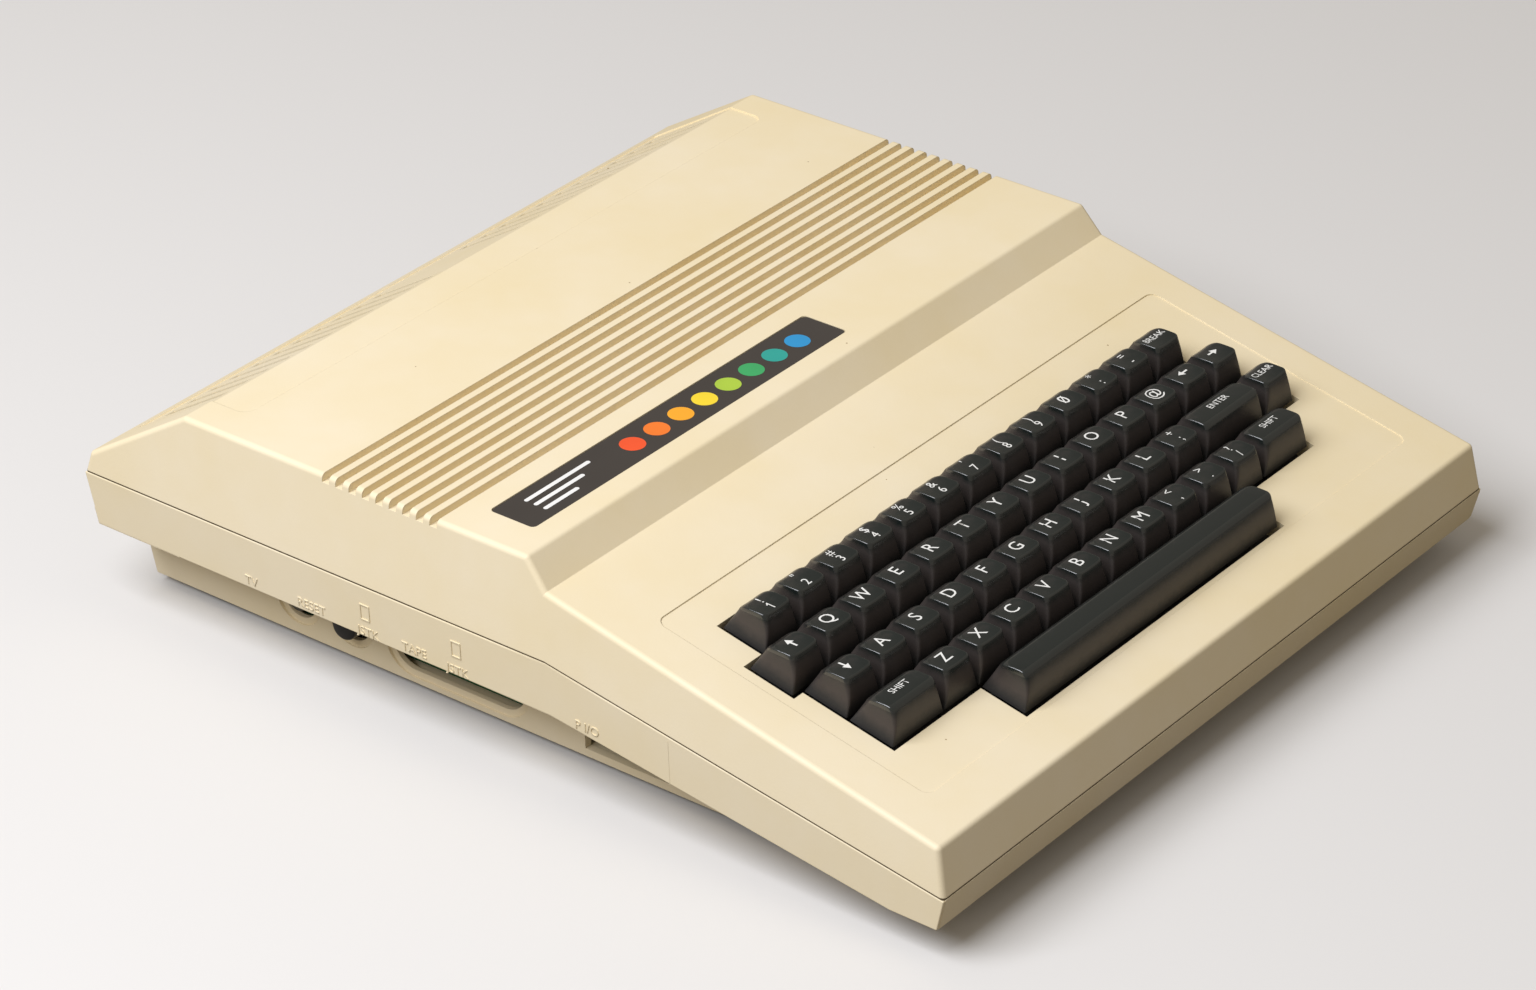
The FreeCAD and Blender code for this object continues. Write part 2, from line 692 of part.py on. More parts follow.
base_flare = "(base_height * tan(base_draft))"
base_box = taper(
    "base_skin", (f"-{BASE_HALF}", BASE_HALF, "base_front", BASE_REAR),
    (f"-{BASE_HALF} - {base_flare}", f"{BASE_HALF} + {base_flare}",
     "base_front", "case_depth - rim_rear_lean"), BASE_Z, UNDERSIDE_Z)
inner_half = f"({BASE_HALF} - wall)"
base_hollow = taper(
    "base_hollow", (f"-{inner_half}", inner_half, "base_front + wall", f"{BASE_REAR} - wall"),
    (f"-{inner_half} - {base_flare}", f"{inner_half} + {base_flare}",
     "base_front + wall", "case_depth - rim_rear_lean - wall"),
    f"{BASE_Z} + wall", f"{UNDERSIDE_Z} + wall")

FLOOR_Z = f"({BASE_Z} + wall)"
BOARD_Z = f"({FLOOR_Z} + board_rise)"
BOARD_HALF = f"({BASE_HALF} - wall - board_side_gap)"
BOARD_FRONT = "(base_front + wall + board_front_gap)"
BOARD_REAR = f"({BASE_REAR} - wall - board_rear_gap)"
BOARD_TOP = f"({BOARD_Z} + board_thickness)"
standoffs = []
for side in (-1, 0, 1):
    rows = {0: [f"({BOARD_FRONT} + {BOARD_REAR}) / 2"]}.get(
        side, [f"{BOARD_FRONT} + 2 * standoff", f"{BOARD_REAR} - 2 * standoff"])
    for i, y in enumerate(rows):
        standoffs.append(box(f"standoff_{side + 1}_{i}", "standoff", "standoff", "board_rise",
                             centred="xy",
                             at=(f"{side} * ({BOARD_HALF} - standoff_inset)", y, FLOOR_Z)))

LEFT_WALL = f"-({BASE_HALF} + overrun)"
WALL_CUT = "wall + 2 * overrun"
SOCKET_Z = f"({BOARD_TOP} + din_block_height / 2)"
DIN_REACH = "((din_count - 1) * din_pitch)"
DIN_MIDDLE = f"(din_first + {DIN_REACH} / 2)"


def left_slot(name, radius, deep):
    """A cutter for the long round-ended slot of the round sockets, from outside the left wall."""
    middle = box(name + "_middle", deep, DIN_REACH, f"2 * ({radius})", centred="yz",
                 at=(LEFT_WALL, DIN_MIDDLE, SOCKET_Z))
    ends = [rod(f"{name}_end_{end}", radius, deep, "x",
                at=(LEFT_WALL, f"din_first + {end} * {DIN_REACH}", SOCKET_Z)) for end in (0, 1)]
    return join(name, middle, *ends)


din_slot = left_slot("din_slot", "din_slot_radius", WALL_CUT)
tv_hole = rod("tv_hole_cut", "tv_hole", WALL_CUT, "x", at=(LEFT_WALL, "tv_place", SOCKET_Z))
reset_hole = rod("reset_hole_cut", "reset_hole", WALL_CUT, "x",
                 at=(LEFT_WALL, "reset_place", SOCKET_Z))
SINK_CUT = "overrun + port_sink"
port_sinks = [
    left_slot("din_sink", "din_slot_radius + port_rim", SINK_CUT),
    rod("tv_sink", "tv_hole + port_rim", SINK_CUT, "x", at=(LEFT_WALL, "tv_place", SOCKET_Z)),
    rod("reset_sink", "reset_hole + port_rim", SINK_CUT, "x",
        at=(LEFT_WALL, "reset_place", SOCKET_Z))]
printer_window = box(
    "printer_window_cut", WALL_CUT, "printer_window", "printer_window_height", centred="y",
    at=(LEFT_WALL, "printer_place", f"{BASE_Z} + printer_window_foot"))

CARTRIDGE_Z = f"({BOARD_TOP} + connector_height / 2 - cartridge_height / 2)"
HINGE_Z = f"({CARTRIDGE_Z} + cartridge_height + flap_pin_radius)"
HINGE_X = f"({BASE_HALF} - wall - touch_gap - flap_pin_radius)"
cartridge_mouth = box(
    "cartridge_mouth", WALL_CUT + " + wall", "cartridge_width", "cartridge_height", centred="y",
    at=(f"{BASE_HALF} - 2 * wall", "cartridge_place", CARTRIDGE_Z))

REAR_WALL = f"({BASE_REAR} - wall)"
REAR_PORT_Z = f"({BASE_Z} + rear_port_height)"
REAR_FACE = f"({BASE_REAR} + rear_port_height * rim_rear_lean / rim_height)"
rear_cut = "wall + base_height * rim_rear_lean / rim_height + 2 * overrun"
switch_window = box(
    "switch_window", "switch_width", rear_cut, "switch_height", centred="xz",
    at=("switch_place", f"{REAR_WALL} - overrun", REAR_PORT_Z))
inlet_window = box(
    "inlet_window", "inlet_width", rear_cut, "inlet_height", centred="xz",
    at=("inlet_place", f"{REAR_WALL} - overrun", REAR_PORT_Z))

rim_and_base = join("lower_skin", rim, base_box)
lower_shell = cut("lower_shell", rim_and_base, rim_hollow, base_hollow)
posts = join("lower_post_rods", *boss_rods("lower_post", "boss_radius", "0", "SEAM"))
lower_posts = common("lower_posts", posts, rim_and_base)
lugs = []
for side in (-1, 1):
    reach = f"(cartridge_width / 2 + flap_lap + flap_gap + lug_width / 2)"
    lugs.append(box(f"flap_lug_{side + 1}", "lug + wall / 2", "lug_width", "lug", centred="yz",
                    at=(f"{BASE_HALF} - wall - lug", f"cartridge_place + {side} * {reach}",
                        HINGE_Z)))
hinge_bore = rod("hinge_bore", "flap_pin_radius + touch_gap",
                 "cartridge_width + 2 * (flap_lap + flap_gap + flap_pin_reach)", "y",
                 at=(HINGE_X, "cartridge_place - cartridge_width / 2 - flap_lap - flap_gap"
                     " - flap_pin_reach", HINGE_Z))
lower_solid = join("lower_with_posts", lower_shell, lower_posts, *standoffs, *lugs)
screw_holes = boss_rods("screw_hole_cut", "screw_hole", "-overrun", "SEAM + overrun")
screw_seats = boss_rods("screw_seat_cut", "screw_recess", "-overrun", "SEAT", "round_sides")
lower = cut("lower_case_piece", lower_solid, din_slot, *port_sinks, tv_hole, reset_hole,
            printer_window, cartridge_mouth, switch_window, inlet_window, hinge_bore,
            *screw_holes, *screw_seats)
node("lower_case", lower)

screws = []
for i, (x, y, seam, seat) in enumerate(BOSSES):
    head = prism(f"screw_head_{i}", "screw_head", "screw_head_height",
                 at=(x, y, f"{seat} - screw_head_height"))
    shaft = prism(f"screw_shaft_{i}", "screw_shaft", f"{seam} + screw_grip - wall - {seat}",
                  at=(x, y, seat), sides="hidden_sides")
    screws.append(join(f"screw_{i}", head, shaft))
node("case_screws", group("case_screws_set", *screws))

feet = []
for side in (-1, 1):
    for i, y in enumerate(("base_front + foot_end_gap",
                           f"{BASE_REAR} - foot_end_gap - foot_length")):
        feet.append(box(f"foot_{i}_{'left' if side < 0 else 'right'}", "foot_width", "foot_length",
                        "foot_height", centred="x",
                        at=(f"{side} * ({BASE_HALF} - foot_inset - foot_width / 2)", y, "0")))
node("rubber_feet", group("rubber_feet_set", *feet))

# Keyboard
KEYBOARD_WIDTH = "(keyboard_units * key_pitch)"
KEYBOARD_DEPTH = "(keyboard_rows * key_pitch)"
KEYBOARD_X = f"(keys_left - {HALF} + {KEYBOARD_WIDTH} / 2)"
KEYBOARD_S = f"(keys_rear - {KEYBOARD_DEPTH} / 2)"
plate = box("keyboard_plate", f"{KEYBOARD_WIDTH} + 2 * (well_gap + plate_margin)",
            f"{KEYBOARD_DEPTH} + 2 * (well_gap + plate_margin)", "plate_thickness", centred="xy",
            at=(KEYBOARD_X, KEYBOARD_S, "-well_depth - plate_thickness"))
collars = []
bores = []
for row_number, cap_name, start, units in KEYS:
    for i, across in enumerate(plungers_of(units)):
        at_x = f"{key_x(start, units)} + {across}"
        tag = f"{cap_name}_{i}"
        collars.append(box(f"collar_{tag}", "collar", "collar", "collar_height", centred="xy",
                           at=(at_x, key_s(row_number), "-well_depth")))
        bores.append(box(f"bore_{tag}", "plunger_bore", "plunger_bore",
                         "collar_height + plate_thickness + 2 * overrun", centred="xy",
                         at=(at_x, key_s(row_number), "-well_depth - plate_thickness - overrun")))
spacers = []
BOARD_GAP = "(key_travel + plunger_foot + touch_gap - plate_thickness)"
BOARD_N = f"(-well_depth - plate_thickness - {BOARD_GAP})"
for across in (-1, 1):
    for along in (-1, 1):
        spacers.append(box(
            f"spacer_{across + 1}_{along + 1}", "spacer", "spacer", BOARD_GAP, centred="xy",
            at=(f"{KEYBOARD_X} + {across} * ({KEYBOARD_WIDTH} - spacer) / 2",
                f"{KEYBOARD_S} + {along} * ({KEYBOARD_DEPTH} - spacer) / 2", BOARD_N)))
frame = cut("keyboard_frame_flat", join("frame_solid", plate, *collars, *spacers), *bores)
board = box("keyboard_board_flat", KEYBOARD_WIDTH, KEYBOARD_DEPTH, "board_thickness",
            centred="xy", at=(KEYBOARD_X, KEYBOARD_S, f"{BOARD_N} - board_thickness"))
node("keyboard_frame", group("frame_on_deck", on_deck(group("frame_tilted", frame))))
node("keyboard_circuit_board", group("board_on_deck", on_deck(group("board_tilted", board))))


def set_on_deck(name, cap, row_number, start, units):
    """Put a finished cap on the deck, about the middle of the case."""
    on_deck(cap, key_x(start, units), key_s(row_number))
    y = f"front_lean + {key_s(row_number)} * cos(deck_slope) - case_depth / 2"
    cap.setExpression(".Placement.Base.y", ex(y))
    return cap


top_row = []
for row_number, cap_name, start, units in KEYS:
    height = "space_height" if cap_name == "space" else "cap_height"
    cap = set_on_deck(cap_name, keycap("key_" + cap_name, units, height), row_number, start, units)
    if row_number == 0:
        top_row.append(cap)
    else:
        node("key_" + cap_name, cap, moved=False)
node("keys_top_row", group("keys_top_row_set", *top_row), moved=False)

# Boards and what stands on them
main_board = box("main_board", f"2 * {BOARD_HALF}", f"{BOARD_REAR} - {BOARD_FRONT}",
                 "board_thickness", centred="x", at=("0", BOARD_FRONT, BOARD_Z))
post_clear = boss_rods("board_clearance", "boss_radius + 2 * touch_gap", "0", BOARD_TOP + " + wall")
cartridge_bay = box(
    "cartridge_bay", "cartridge_depth", "cartridge_width + 2 * (flap_lap + flap_gap + lug_width)",
    "board_thickness + 2 * overrun", centred="y",
    at=(f"{BASE_HALF} - cartridge_depth + connector_width", "cartridge_place",
        f"{BOARD_Z} - overrun"))
RESET_COLLAR = "(reset_hole + port_rim / 2)"
RESET_FACE = f"(-({BASE_HALF}) - reset_proud)"
RESET_STOP = f"(-({BASE_HALF}) + wall + 2 * touch_gap)"
RESET_SWITCH = f"({RESET_STOP} + reset_flange + reset_travel + 2 * touch_gap)"
reset_notch = box(
    "reset_notch", f"{RESET_SWITCH} + {BOARD_HALF} + overrun", f"2 * ({RESET_COLLAR} + touch_gap)",
    "board_thickness + 2 * overrun", centred="y",
    at=(f"-{BOARD_HALF} - overrun", "reset_place", f"{BOARD_Z} - overrun"))
node("main_circuit_board",
     cut("main_board_piece", main_board, *post_clear, cartridge_bay, reset_notch))

chips = []
CHIP_PLACES_SHARES = [(-0.45, 0.30, "long"), (-0.45, 0.42, "long"), (-0.45, 0.54, "long"),
                      (-0.02, 0.30, "long"), (-0.02, 0.42, "long"), (-0.02, 0.54, "long")]
for i, (across, along, kind) in enumerate(CHIP_PLACES_SHARES):
    chips.append(box(f"chip_{i}", "chip_long", "chip_wide", "chip_high", centred="xy",
                     at=(f"{across} * {BOARD_HALF}",
                         f"{BOARD_FRONT} + {along} * ({BOARD_REAR} - {BOARD_FRONT})", BOARD_TOP)))
RAM_CORNER_SHARES = (-0.62, 0.08)
for row_number in range(2):
    for column in range(8):
        chips.append(box(
            f"ram_{row_number}_{column}", "chip_ram_wide", "chip_ram", "chip_high", centred="xy",
            at=(f"{RAM_CORNER_SHARES[0]} * {BOARD_HALF} + {column} * chip_column_pitch",
                f"{BOARD_FRONT} + {RAM_CORNER_SHARES[1]} * ({BOARD_REAR} - {BOARD_FRONT})"
                f" + {row_number} * chip_row_pitch + chip_ram / 2", BOARD_TOP)))
node("integrated_circuits", group("integrated_circuits_set", *chips))

POWER_Z = f"({BOARD_TOP} + power_board_lift)"
power_plate = box("power_plate", "power_board_width", "power_board_depth", "board_thickness",
                  centred="x", at=("power_board_place", "power_board_front", POWER_Z))
pillars = [box(f"power_pillar_{across + 1}_{along}", "standoff", "standoff", "power_board_lift",
               centred="xy",
               at=(f"power_board_place + {across} * (power_board_width / 2 - standoff)",
                   f"power_board_front + standoff + {along} * (power_board_depth - 2 * standoff)",
                   BOARD_TOP))
           for across in (-1, 1) for along in (0, 1)]
cans = [prism(f"capacitor_{i}", "capacitor_radius", "capacitor_length",
              at=(f"power_board_place + ({i} - 1 / 2) * 5 / 2 * capacitor_radius",
                  "power_board_front + power_board_depth - 3 / 2 * capacitor_radius",
                  f"{POWER_Z} + board_thickness"))
        for i in range(2)]
node("power_board", join("power_board_piece", power_plate, *pillars, *cans))

SINK_Y = "(power_board_front + sink_foot)"
SINK_Z = f"({POWER_Z} + board_thickness)"
sink_parts = [
    box("sink_foot_plate", "sink_length", "sink_foot", "sink_thickness", centred="x",
        at=("power_board_place", f"{SINK_Y} - sink_foot", SINK_Z)),
    box("sink_back", "sink_length", "sink_thickness", "sink_height", centred="x",
        at=("power_board_place", f"{SINK_Y} - sink_thickness", SINK_Z))]
for i in range(int(value("sink_fins"))):
    share = f"(({i} + 1 / 2) / sink_fins - 1 / 2)"
    sink_parts.append(box(
        f"sink_fin_{i}", "sink_thickness", "sink_fin_reach", "sink_height - 2 * sink_thickness",
        centred="x", at=(f"power_board_place + sink_length * {share}",
                         f"{SINK_Y} - sink_thickness", f"{SINK_Z} + 2 * sink_thickness")))
node("heatsink", join("heatsink_piece", *sink_parts))

# Sockets and controls in the left wall
DIN_FACE = f"(-({BASE_HALF}) + din_set_back)"
sockets = []
for i in range(int(value("din_count"))):
    y = f"din_first + {i} * din_pitch"
    block = box(f"din_block_{i}", "din_block_depth", "din_block", "din_block_height", centred="y",
                at=(DIN_FACE, y, BOARD_TOP))
    bore = prism(f"din_bore_{i}", "din_radius", "din_bore_depth + overrun", "x",
                 at=(f"{DIN_FACE} - overrun", y, SOCKET_Z))
    core = prism(f"din_core_{i}", "din_core_radius", "din_bore_depth + wall / 2", "x",
                 at=(DIN_FACE, y, SOCKET_Z))
    sockets.append(join(f"din_{i}", cut(f"din_cup_{i}", block, bore), core))
din = group("din_sockets_set", *sockets)
node("din_sockets", din)

TV_FACE = f"(-({BASE_HALF}) + wall + tv_jack_reach / 2)"
tv_box = box("tv_box", "tv_box_width", "tv_box_length", "tv_box_height", centred="y",
             at=(TV_FACE, "tv_place + tv_box_length / 4", BOARD_TOP))
tv_jack = rod("tv_jack", "tv_jack_radius", "tv_jack_reach + wall", "x",
              at=(f"{TV_FACE} - tv_jack_reach", "tv_place", SOCKET_Z))
tv_bore = rod("tv_bore", "tv_jack_bore", "tv_jack_bore_depth + overrun", "x",
              at=(f"{TV_FACE} - tv_jack_reach - overrun", "tv_place", SOCKET_Z))
node("tv_modulator", cut("tv_modulator_piece", join("tv_solid", tv_box, tv_jack), tv_bore))

button = join(
    "reset_button_piece",
    prism("reset_head", "reset_radius", f"{RESET_STOP} - {RESET_FACE} + reset_flange", "x",
          at=(RESET_FACE, "reset_place", SOCKET_Z)),
    prism("reset_collar", RESET_COLLAR, "reset_flange", "x",
          at=(RESET_STOP, "reset_place", SOCKET_Z)),
    prism("reset_rod", "reset_stem", f"{RESET_SWITCH} - {RESET_STOP} + reset_travel", "x",
          at=(RESET_STOP, "reset_place", SOCKET_Z), sides="hidden_sides"))
node("reset_button", button)
reset_switch = cut(
    "reset_switch_piece",
    box("reset_switch_block", "reset_switch", "reset_switch", f"2 * ({SOCKET_Z} - {BOARD_TOP})",
        centred="y", at=(RESET_SWITCH, "reset_place", BOARD_TOP)),
    prism("reset_switch_bore", "reset_stem + touch_gap", "overrun + 2 * reset_travel + touch_gap",
          "x", at=(f"{RESET_SWITCH} - overrun", "reset_place", SOCKET_Z),
          sides="hidden_sides"))

HEADER_FACE = f"(-({BASE_HALF}) + din_set_back)"
header = cut(
    "printer_header",
    box("header_block", "printer_body_depth", "printer_body", "printer_body_height", centred="y",
        at=(HEADER_FACE, "printer_place", BOARD_TOP)),
    box("header_hollow", "printer_body_depth - printer_wall + overrun",
        "printer_body - 2 * printer_wall", "printer_body_height - 2 * printer_wall", centred="y",
        at=(f"{HEADER_FACE} - overrun", "printer_place",
            f"{BOARD_TOP} + printer_wall")))
CONNECTOR_X = f"({BASE_HALF} - cartridge_depth)"
connector = cut(
    "cartridge_socket",
    box("connector_block", "connector_width", "connector_length", "connector_height", centred="y",
        at=(CONNECTOR_X, "cartridge_place", BOARD_TOP)),
    box("connector_slot_cut", "connector_slot_depth + overrun",
        "connector_length - 2 * connector_slot", "connector_slot", centred="yz",
        at=(f"{CONNECTOR_X} + connector_width - connector_slot_depth", "cartridge_place",
            f"{BOARD_TOP} + connector_height / 2")))
node("board_connectors", group("board_connectors_set", header, connector, reset_switch))

# Cartridge flap, hung inside the mouth on its own pins
flap = join(
    "flap_piece",
    box("flap_leaf", "flap_thickness", "cartridge_width + 2 * flap_lap",
        "cartridge_height + flap_pin_radius - flap_gap", centred="xy",
        at=(HINGE_X, "cartridge_place", f"{CARTRIDGE_Z} + flap_gap")),
    rod("flap_pin", "flap_pin_radius", "cartridge_width + 2 * (flap_lap + flap_pin_reach)", "y",
        at=(HINGE_X, "cartridge_place - cartridge_width / 2 - flap_lap - flap_pin_reach",
            HINGE_Z)))
node("cartridge_flap", flap)

# Rear wall: power switch and power inlet
FLANGE_Y = f"({REAR_WALL} - touch_gap)"
SWITCH_FACE = f"({REAR_FACE} - switch_inset)"
ROCKER_Y = f"({SWITCH_FACE} + rocker_proud - rocker_thickness / 2)"
PIN_HALF = "(switch_width / 2 - switch_wall + rocker_pin_reach)"
switch_body = cut(
    "switch_body",
    join("switch_solid",
         box("switch_block", "switch_width + 2 * switch_flange", "switch_depth",
             "switch_height + 2 * switch_flange", centred="xz",
             at=("switch_place", f"{FLANGE_Y} - switch_depth", REAR_PORT_Z)),
         box("switch_snout", "switch_width - 2 * touch_gap", f"{SWITCH_FACE} - {FLANGE_Y}",
             "switch_height - touch_gap", centred="x",
             at=("switch_place", FLANGE_Y, f"{REAR_PORT_Z} - switch_height / 2"))),
    box("switch_hollow", "switch_width - 2 * switch_wall",
        f"{SWITCH_FACE} - {FLANGE_Y} + switch_depth - switch_wall",
        "switch_height - 2 * switch_wall", centred="xz",
        at=("switch_place", f"{FLANGE_Y} - switch_depth + switch_wall", REAR_PORT_Z)),
    rod("rocker_bore", "rocker_pin_radius + touch_gap", f"2 * ({PIN_HALF} + touch_gap)", "x",
        at=(f"switch_place - {PIN_HALF} - touch_gap", ROCKER_Y, REAR_PORT_Z)))
node("power_switch_body", switch_body)
rocker_high = ("((switch_height - 2 * switch_wall - 2 * rocker_gap"
               " - rocker_thickness * sin(rocker_throw)) / cos(rocker_throw))")
rocker = join(
    "rocker_and_pins",
    box("rocker", "switch_width - 2 * switch_wall - 2 * rocker_gap", "rocker_thickness",
        rocker_high, centred="xyz"),
    rod("rocker_pins", "rocker_pin_radius", f"2 * {PIN_HALF}", "x", at=(f"-{PIN_HALF}", "0", "0")))
rocker = place(group("rocker_turned", rocker), "switch_place", ROCKER_Y, REAR_PORT_Z,
               turn="rocker_throw")
node("power_rocker", group("rocker_piece", rocker))

inlet = cut(
    "inlet_body",
    join("inlet_solid",
         box("inlet_block", "inlet_width + 2 * inlet_lip", "inlet_depth",
             "inlet_height + 2 * inlet_lip", centred="xz",
             at=("inlet_place", f"{FLANGE_Y} - inlet_depth", REAR_PORT_Z)),
         box("inlet_snout", "inlet_width - 2 * touch_gap", f"{SWITCH_FACE} - {FLANGE_Y}",
             "inlet_height - touch_gap", centred="x",
             at=("inlet_place", FLANGE_Y, f"{REAR_PORT_Z} - inlet_height / 2"))),
    box("inlet_hollow", "inlet_width - 4 * inlet_lip", "inlet_sink + overrun",
        "inlet_height - 4 * inlet_lip", centred="xz",
        at=("inlet_place", f"{SWITCH_FACE} - inlet_sink", REAR_PORT_Z)))
node("power_inlet", inlet)

doc.recompute()

for item in doc.Objects:
    if "Invalid" in item.State or "Error" in item.State:
        raise RuntimeError(f"{item.Label} failed: {item.State}")
for piece in NODES:
    shape = piece.Shape
    if shape.isNull() or not shape.isValid() or not shape.Solids:
        raise RuntimeError(piece.Label + " has no sound shape")
    shape.exportStep("parts/" + piece.Label + ".step")
    print(f"{piece.Label}: {len(shape.Solids)} solids, {shape.Volume / 1000:.1f} cm3")
print(len(NODES), "nodes")
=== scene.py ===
"""Looks of a vintage home computer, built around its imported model.

Metres, in the frame of the part: X to the typist's right, Y to the rear, Z up from the table.
Lengths below are written in millimetres and turned into metres by MM.
"""
import bpy
import json
import math
from mathutils import Matrix, Vector

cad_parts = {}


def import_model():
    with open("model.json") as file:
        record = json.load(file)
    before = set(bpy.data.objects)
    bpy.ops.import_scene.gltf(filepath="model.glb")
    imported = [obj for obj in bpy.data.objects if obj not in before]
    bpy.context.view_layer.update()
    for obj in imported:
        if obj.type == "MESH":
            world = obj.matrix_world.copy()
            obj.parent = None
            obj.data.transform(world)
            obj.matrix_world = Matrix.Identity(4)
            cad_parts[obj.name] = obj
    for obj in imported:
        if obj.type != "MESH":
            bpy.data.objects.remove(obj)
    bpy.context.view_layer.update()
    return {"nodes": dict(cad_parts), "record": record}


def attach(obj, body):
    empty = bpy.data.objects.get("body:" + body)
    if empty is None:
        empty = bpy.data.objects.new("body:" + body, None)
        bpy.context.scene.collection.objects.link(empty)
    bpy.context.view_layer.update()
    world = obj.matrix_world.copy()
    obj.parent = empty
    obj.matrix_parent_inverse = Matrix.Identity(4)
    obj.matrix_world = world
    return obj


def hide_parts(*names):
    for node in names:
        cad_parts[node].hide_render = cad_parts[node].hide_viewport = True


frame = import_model()
MM = 0.001

# Case, as in the part's source
CASE_WIDTH = 328
CASE_DEPTH = 376
HALF = CASE_WIDTH / 2
SEAM_FRONT_Z = 24.89
FRONT_HEIGHT = 18.1
FRONT_LEAN = 3.5
DECK_SLOPE = math.radians(12.15)
TOP_Z = 88.2
SOCKET_Z = 17.7
BASE_HALF = HALF - 22
TV_Y = 296.3
RESET_Y = 271.3
PRINTER_Y = 147
HEADER_FLOOR_X = -128.8
HEADER_Z = 14.2
TV_FACE_X = -143
DIN_PLACES = [202.4 + 20.4 * i for i in range(3)]
SWITCH_X = 92
INLET_X = 50
INLET_DEEP = 6
SCREW_PLACES = [(151, 46, 22.48), (118, 135, 12.5), (118, 346, 12.5)]
FOOT_X = 132.5
FOOT_PLACES = [60.5, 335.515]

# Keyboard, as in the part's source
PITCH = 19.05
KEYS_LEFT = 25.6
KEYS_REAR = 115.9
CAP_GAP = 0.45
CAP_DROP = 1
CAP_HEIGHT = 11.6
SPACE_HEIGHT = 12.3
SIDE_LEAN = 2.1
FRONT_CAP_LEAN = 4.6
REAR_CAP_LEAN = 2.9
DISH_RADIUS = 42
DISH_SINK = 0.55

# Camera
CAMERA_AZIMUTH = math.radians(-51.903)
CAMERA_ELEVATION = math.radians(30.233)
CAMERA_ROLL = math.radians(0.479)
CAMERA_DISTANCE = 1.697845
CAMERA_TARGET = Vector((-0.1085, -0.0751, 0.1090))
CAMERA_LENS = 121.35


def camera():
    """The photograph's camera."""
    az, el = CAMERA_AZIMUTH, CAMERA_ELEVATION
    back = Vector((math.sin(az) * math.cos(el), -math.cos(az) * math.cos(el), math.sin(el)))
    right = (-back).cross(Vector((0, 0, 1))).normalized()
    down = (-back).cross(right)
    across = math.cos(CAMERA_ROLL) * right + math.sin(CAMERA_ROLL) * down
    below = -math.sin(CAMERA_ROLL) * right + math.cos(CAMERA_ROLL) * down
    data = bpy.data.cameras.new("camera")
    data.lens = CAMERA_LENS
    data.clip_start = 0.05
    made = bpy.data.objects.new("camera", data)
    bpy.context.scene.collection.objects.link(made)
    turn = Matrix((across, -below, back)).transposed().to_4x4()
    made.matrix_world = Matrix.Translation(CAMERA_TARGET + CAMERA_DISTANCE * back) @ turn
    bpy.context.scene.camera = made


camera()


def lamp(name, place, target, size, power, colour=(1, 1, 1)):
    """A square soft lamp at a place, aimed at a point."""
    data = bpy.data.lights.new(name, "AREA")
    data.size = size
    data.energy = power
    data.color = colour
    made = bpy.data.objects.new(name, data)
    bpy.context.scene.collection.objects.link(made)
    made.location = place
    aim = Vector(target) - Vector(place)
    made.rotation_euler = aim.to_track_quat("-Z", "Y").to_euler()


# Materials

def tree(name):
    """A new material's node tree with its shader."""
    made = bpy.data.materials.new(name)
    made.use_nodes = True
    return made, made.node_tree, made.node_tree.nodes["Principled BSDF"]


def noise(nodes, where, scale, detail=2.0, rough=0.5):
    """A noise texture on a coordinate, its scale in waves per metre."""
    made = nodes.new("ShaderNodeTexNoise")
    made.inputs["Scale"].default_value = scale
    made.inputs["Detail"].default_value = detail
    made.inputs["Roughness"].default_value = rough
    nodes.id_data.links.new(where, made.inputs["Vector"])
    return made.outputs["Fac"]


def ramp(nodes, fac, stops):
    """A colour ramp of (position, colour) stops."""
    made = nodes.new("ShaderNodeValToRGB")
    made.color_ramp.elements[0].position = stops[0][0]
    made.color_ramp.elements[0].color = (*stops[0][1], 1)
    made.color_ramp.elements[1].position = stops[-1][0]
    made.color_ramp.elements[1].color = (*stops[-1][1], 1)
    for spot, colour in stops[1:-1]:
        made.color_ramp.elements.new(spot).color = (*colour, 1)
    nodes.id_data.links.new(fac, made.inputs["Fac"])
    return made.outputs["Color"]


def bump(nodes, height, strength, distance, normal=None):
    """A bump of a height in metres."""
    made = nodes.new("ShaderNodeBump")
    made.inputs["Strength"].default_value = strength
    made.inputs["Distance"].default_value = distance
    nodes.id_data.links.new(height, made.inputs["Height"])
    if normal is not None:
        nodes.id_data.links.new(normal, made.inputs["Normal"])
    return made.outputs["Normal"]


def sums(nodes, operation, *terms):
    """One step of arithmetic on sockets or numbers."""
    made = nodes.new("ShaderNodeMath")
    made.operation = operation
    for socket, term in zip(made.inputs, terms):
        if isinstance(term, (int, float)):
            socket.default_value = term
        else:
            nodes.id_data.links.new(term, socket)
    return made.outputs[0]


def place_of(nodes):
    """The surface's own coordinates, in metres."""
    return nodes.new("ShaderNodeTexCoord").outputs["Object"]


CREAM = (0.85, 0.745, 0.535)
CREAM_AGED_AND_SHADED = (0.815, 0.685, 0.42)
SPECK = (0.42, 0.31, 0.17)
# Darker and yellower to the right: partly real yellowing, partly painted shade where the light
# falls off.
YELLOWED_AND_SHADED_TO_RIGHT = 0.6
PANEL_HALF_WIDTH = 145.3
PANEL_FRONT = 17.5
PANEL_REAR = 131.9


def along(nodes, where, start, way):
    """Distance of a surface point from a start point, along a direction."""
    moved = nodes.new("ShaderNodeVectorMath")
    moved.operation = "SUBTRACT"
    nodes.id_data.links.new(where, moved.inputs[0])
    moved.inputs[1].default_value = start
    dot = nodes.new("ShaderNodeVectorMath")
    dot.operation = "DOT_PRODUCT"
    nodes.id_data.links.new(moved.outputs["Vector"], dot.inputs[0])
    dot.inputs[1].default_value = way
    return dot.outputs["Value"]


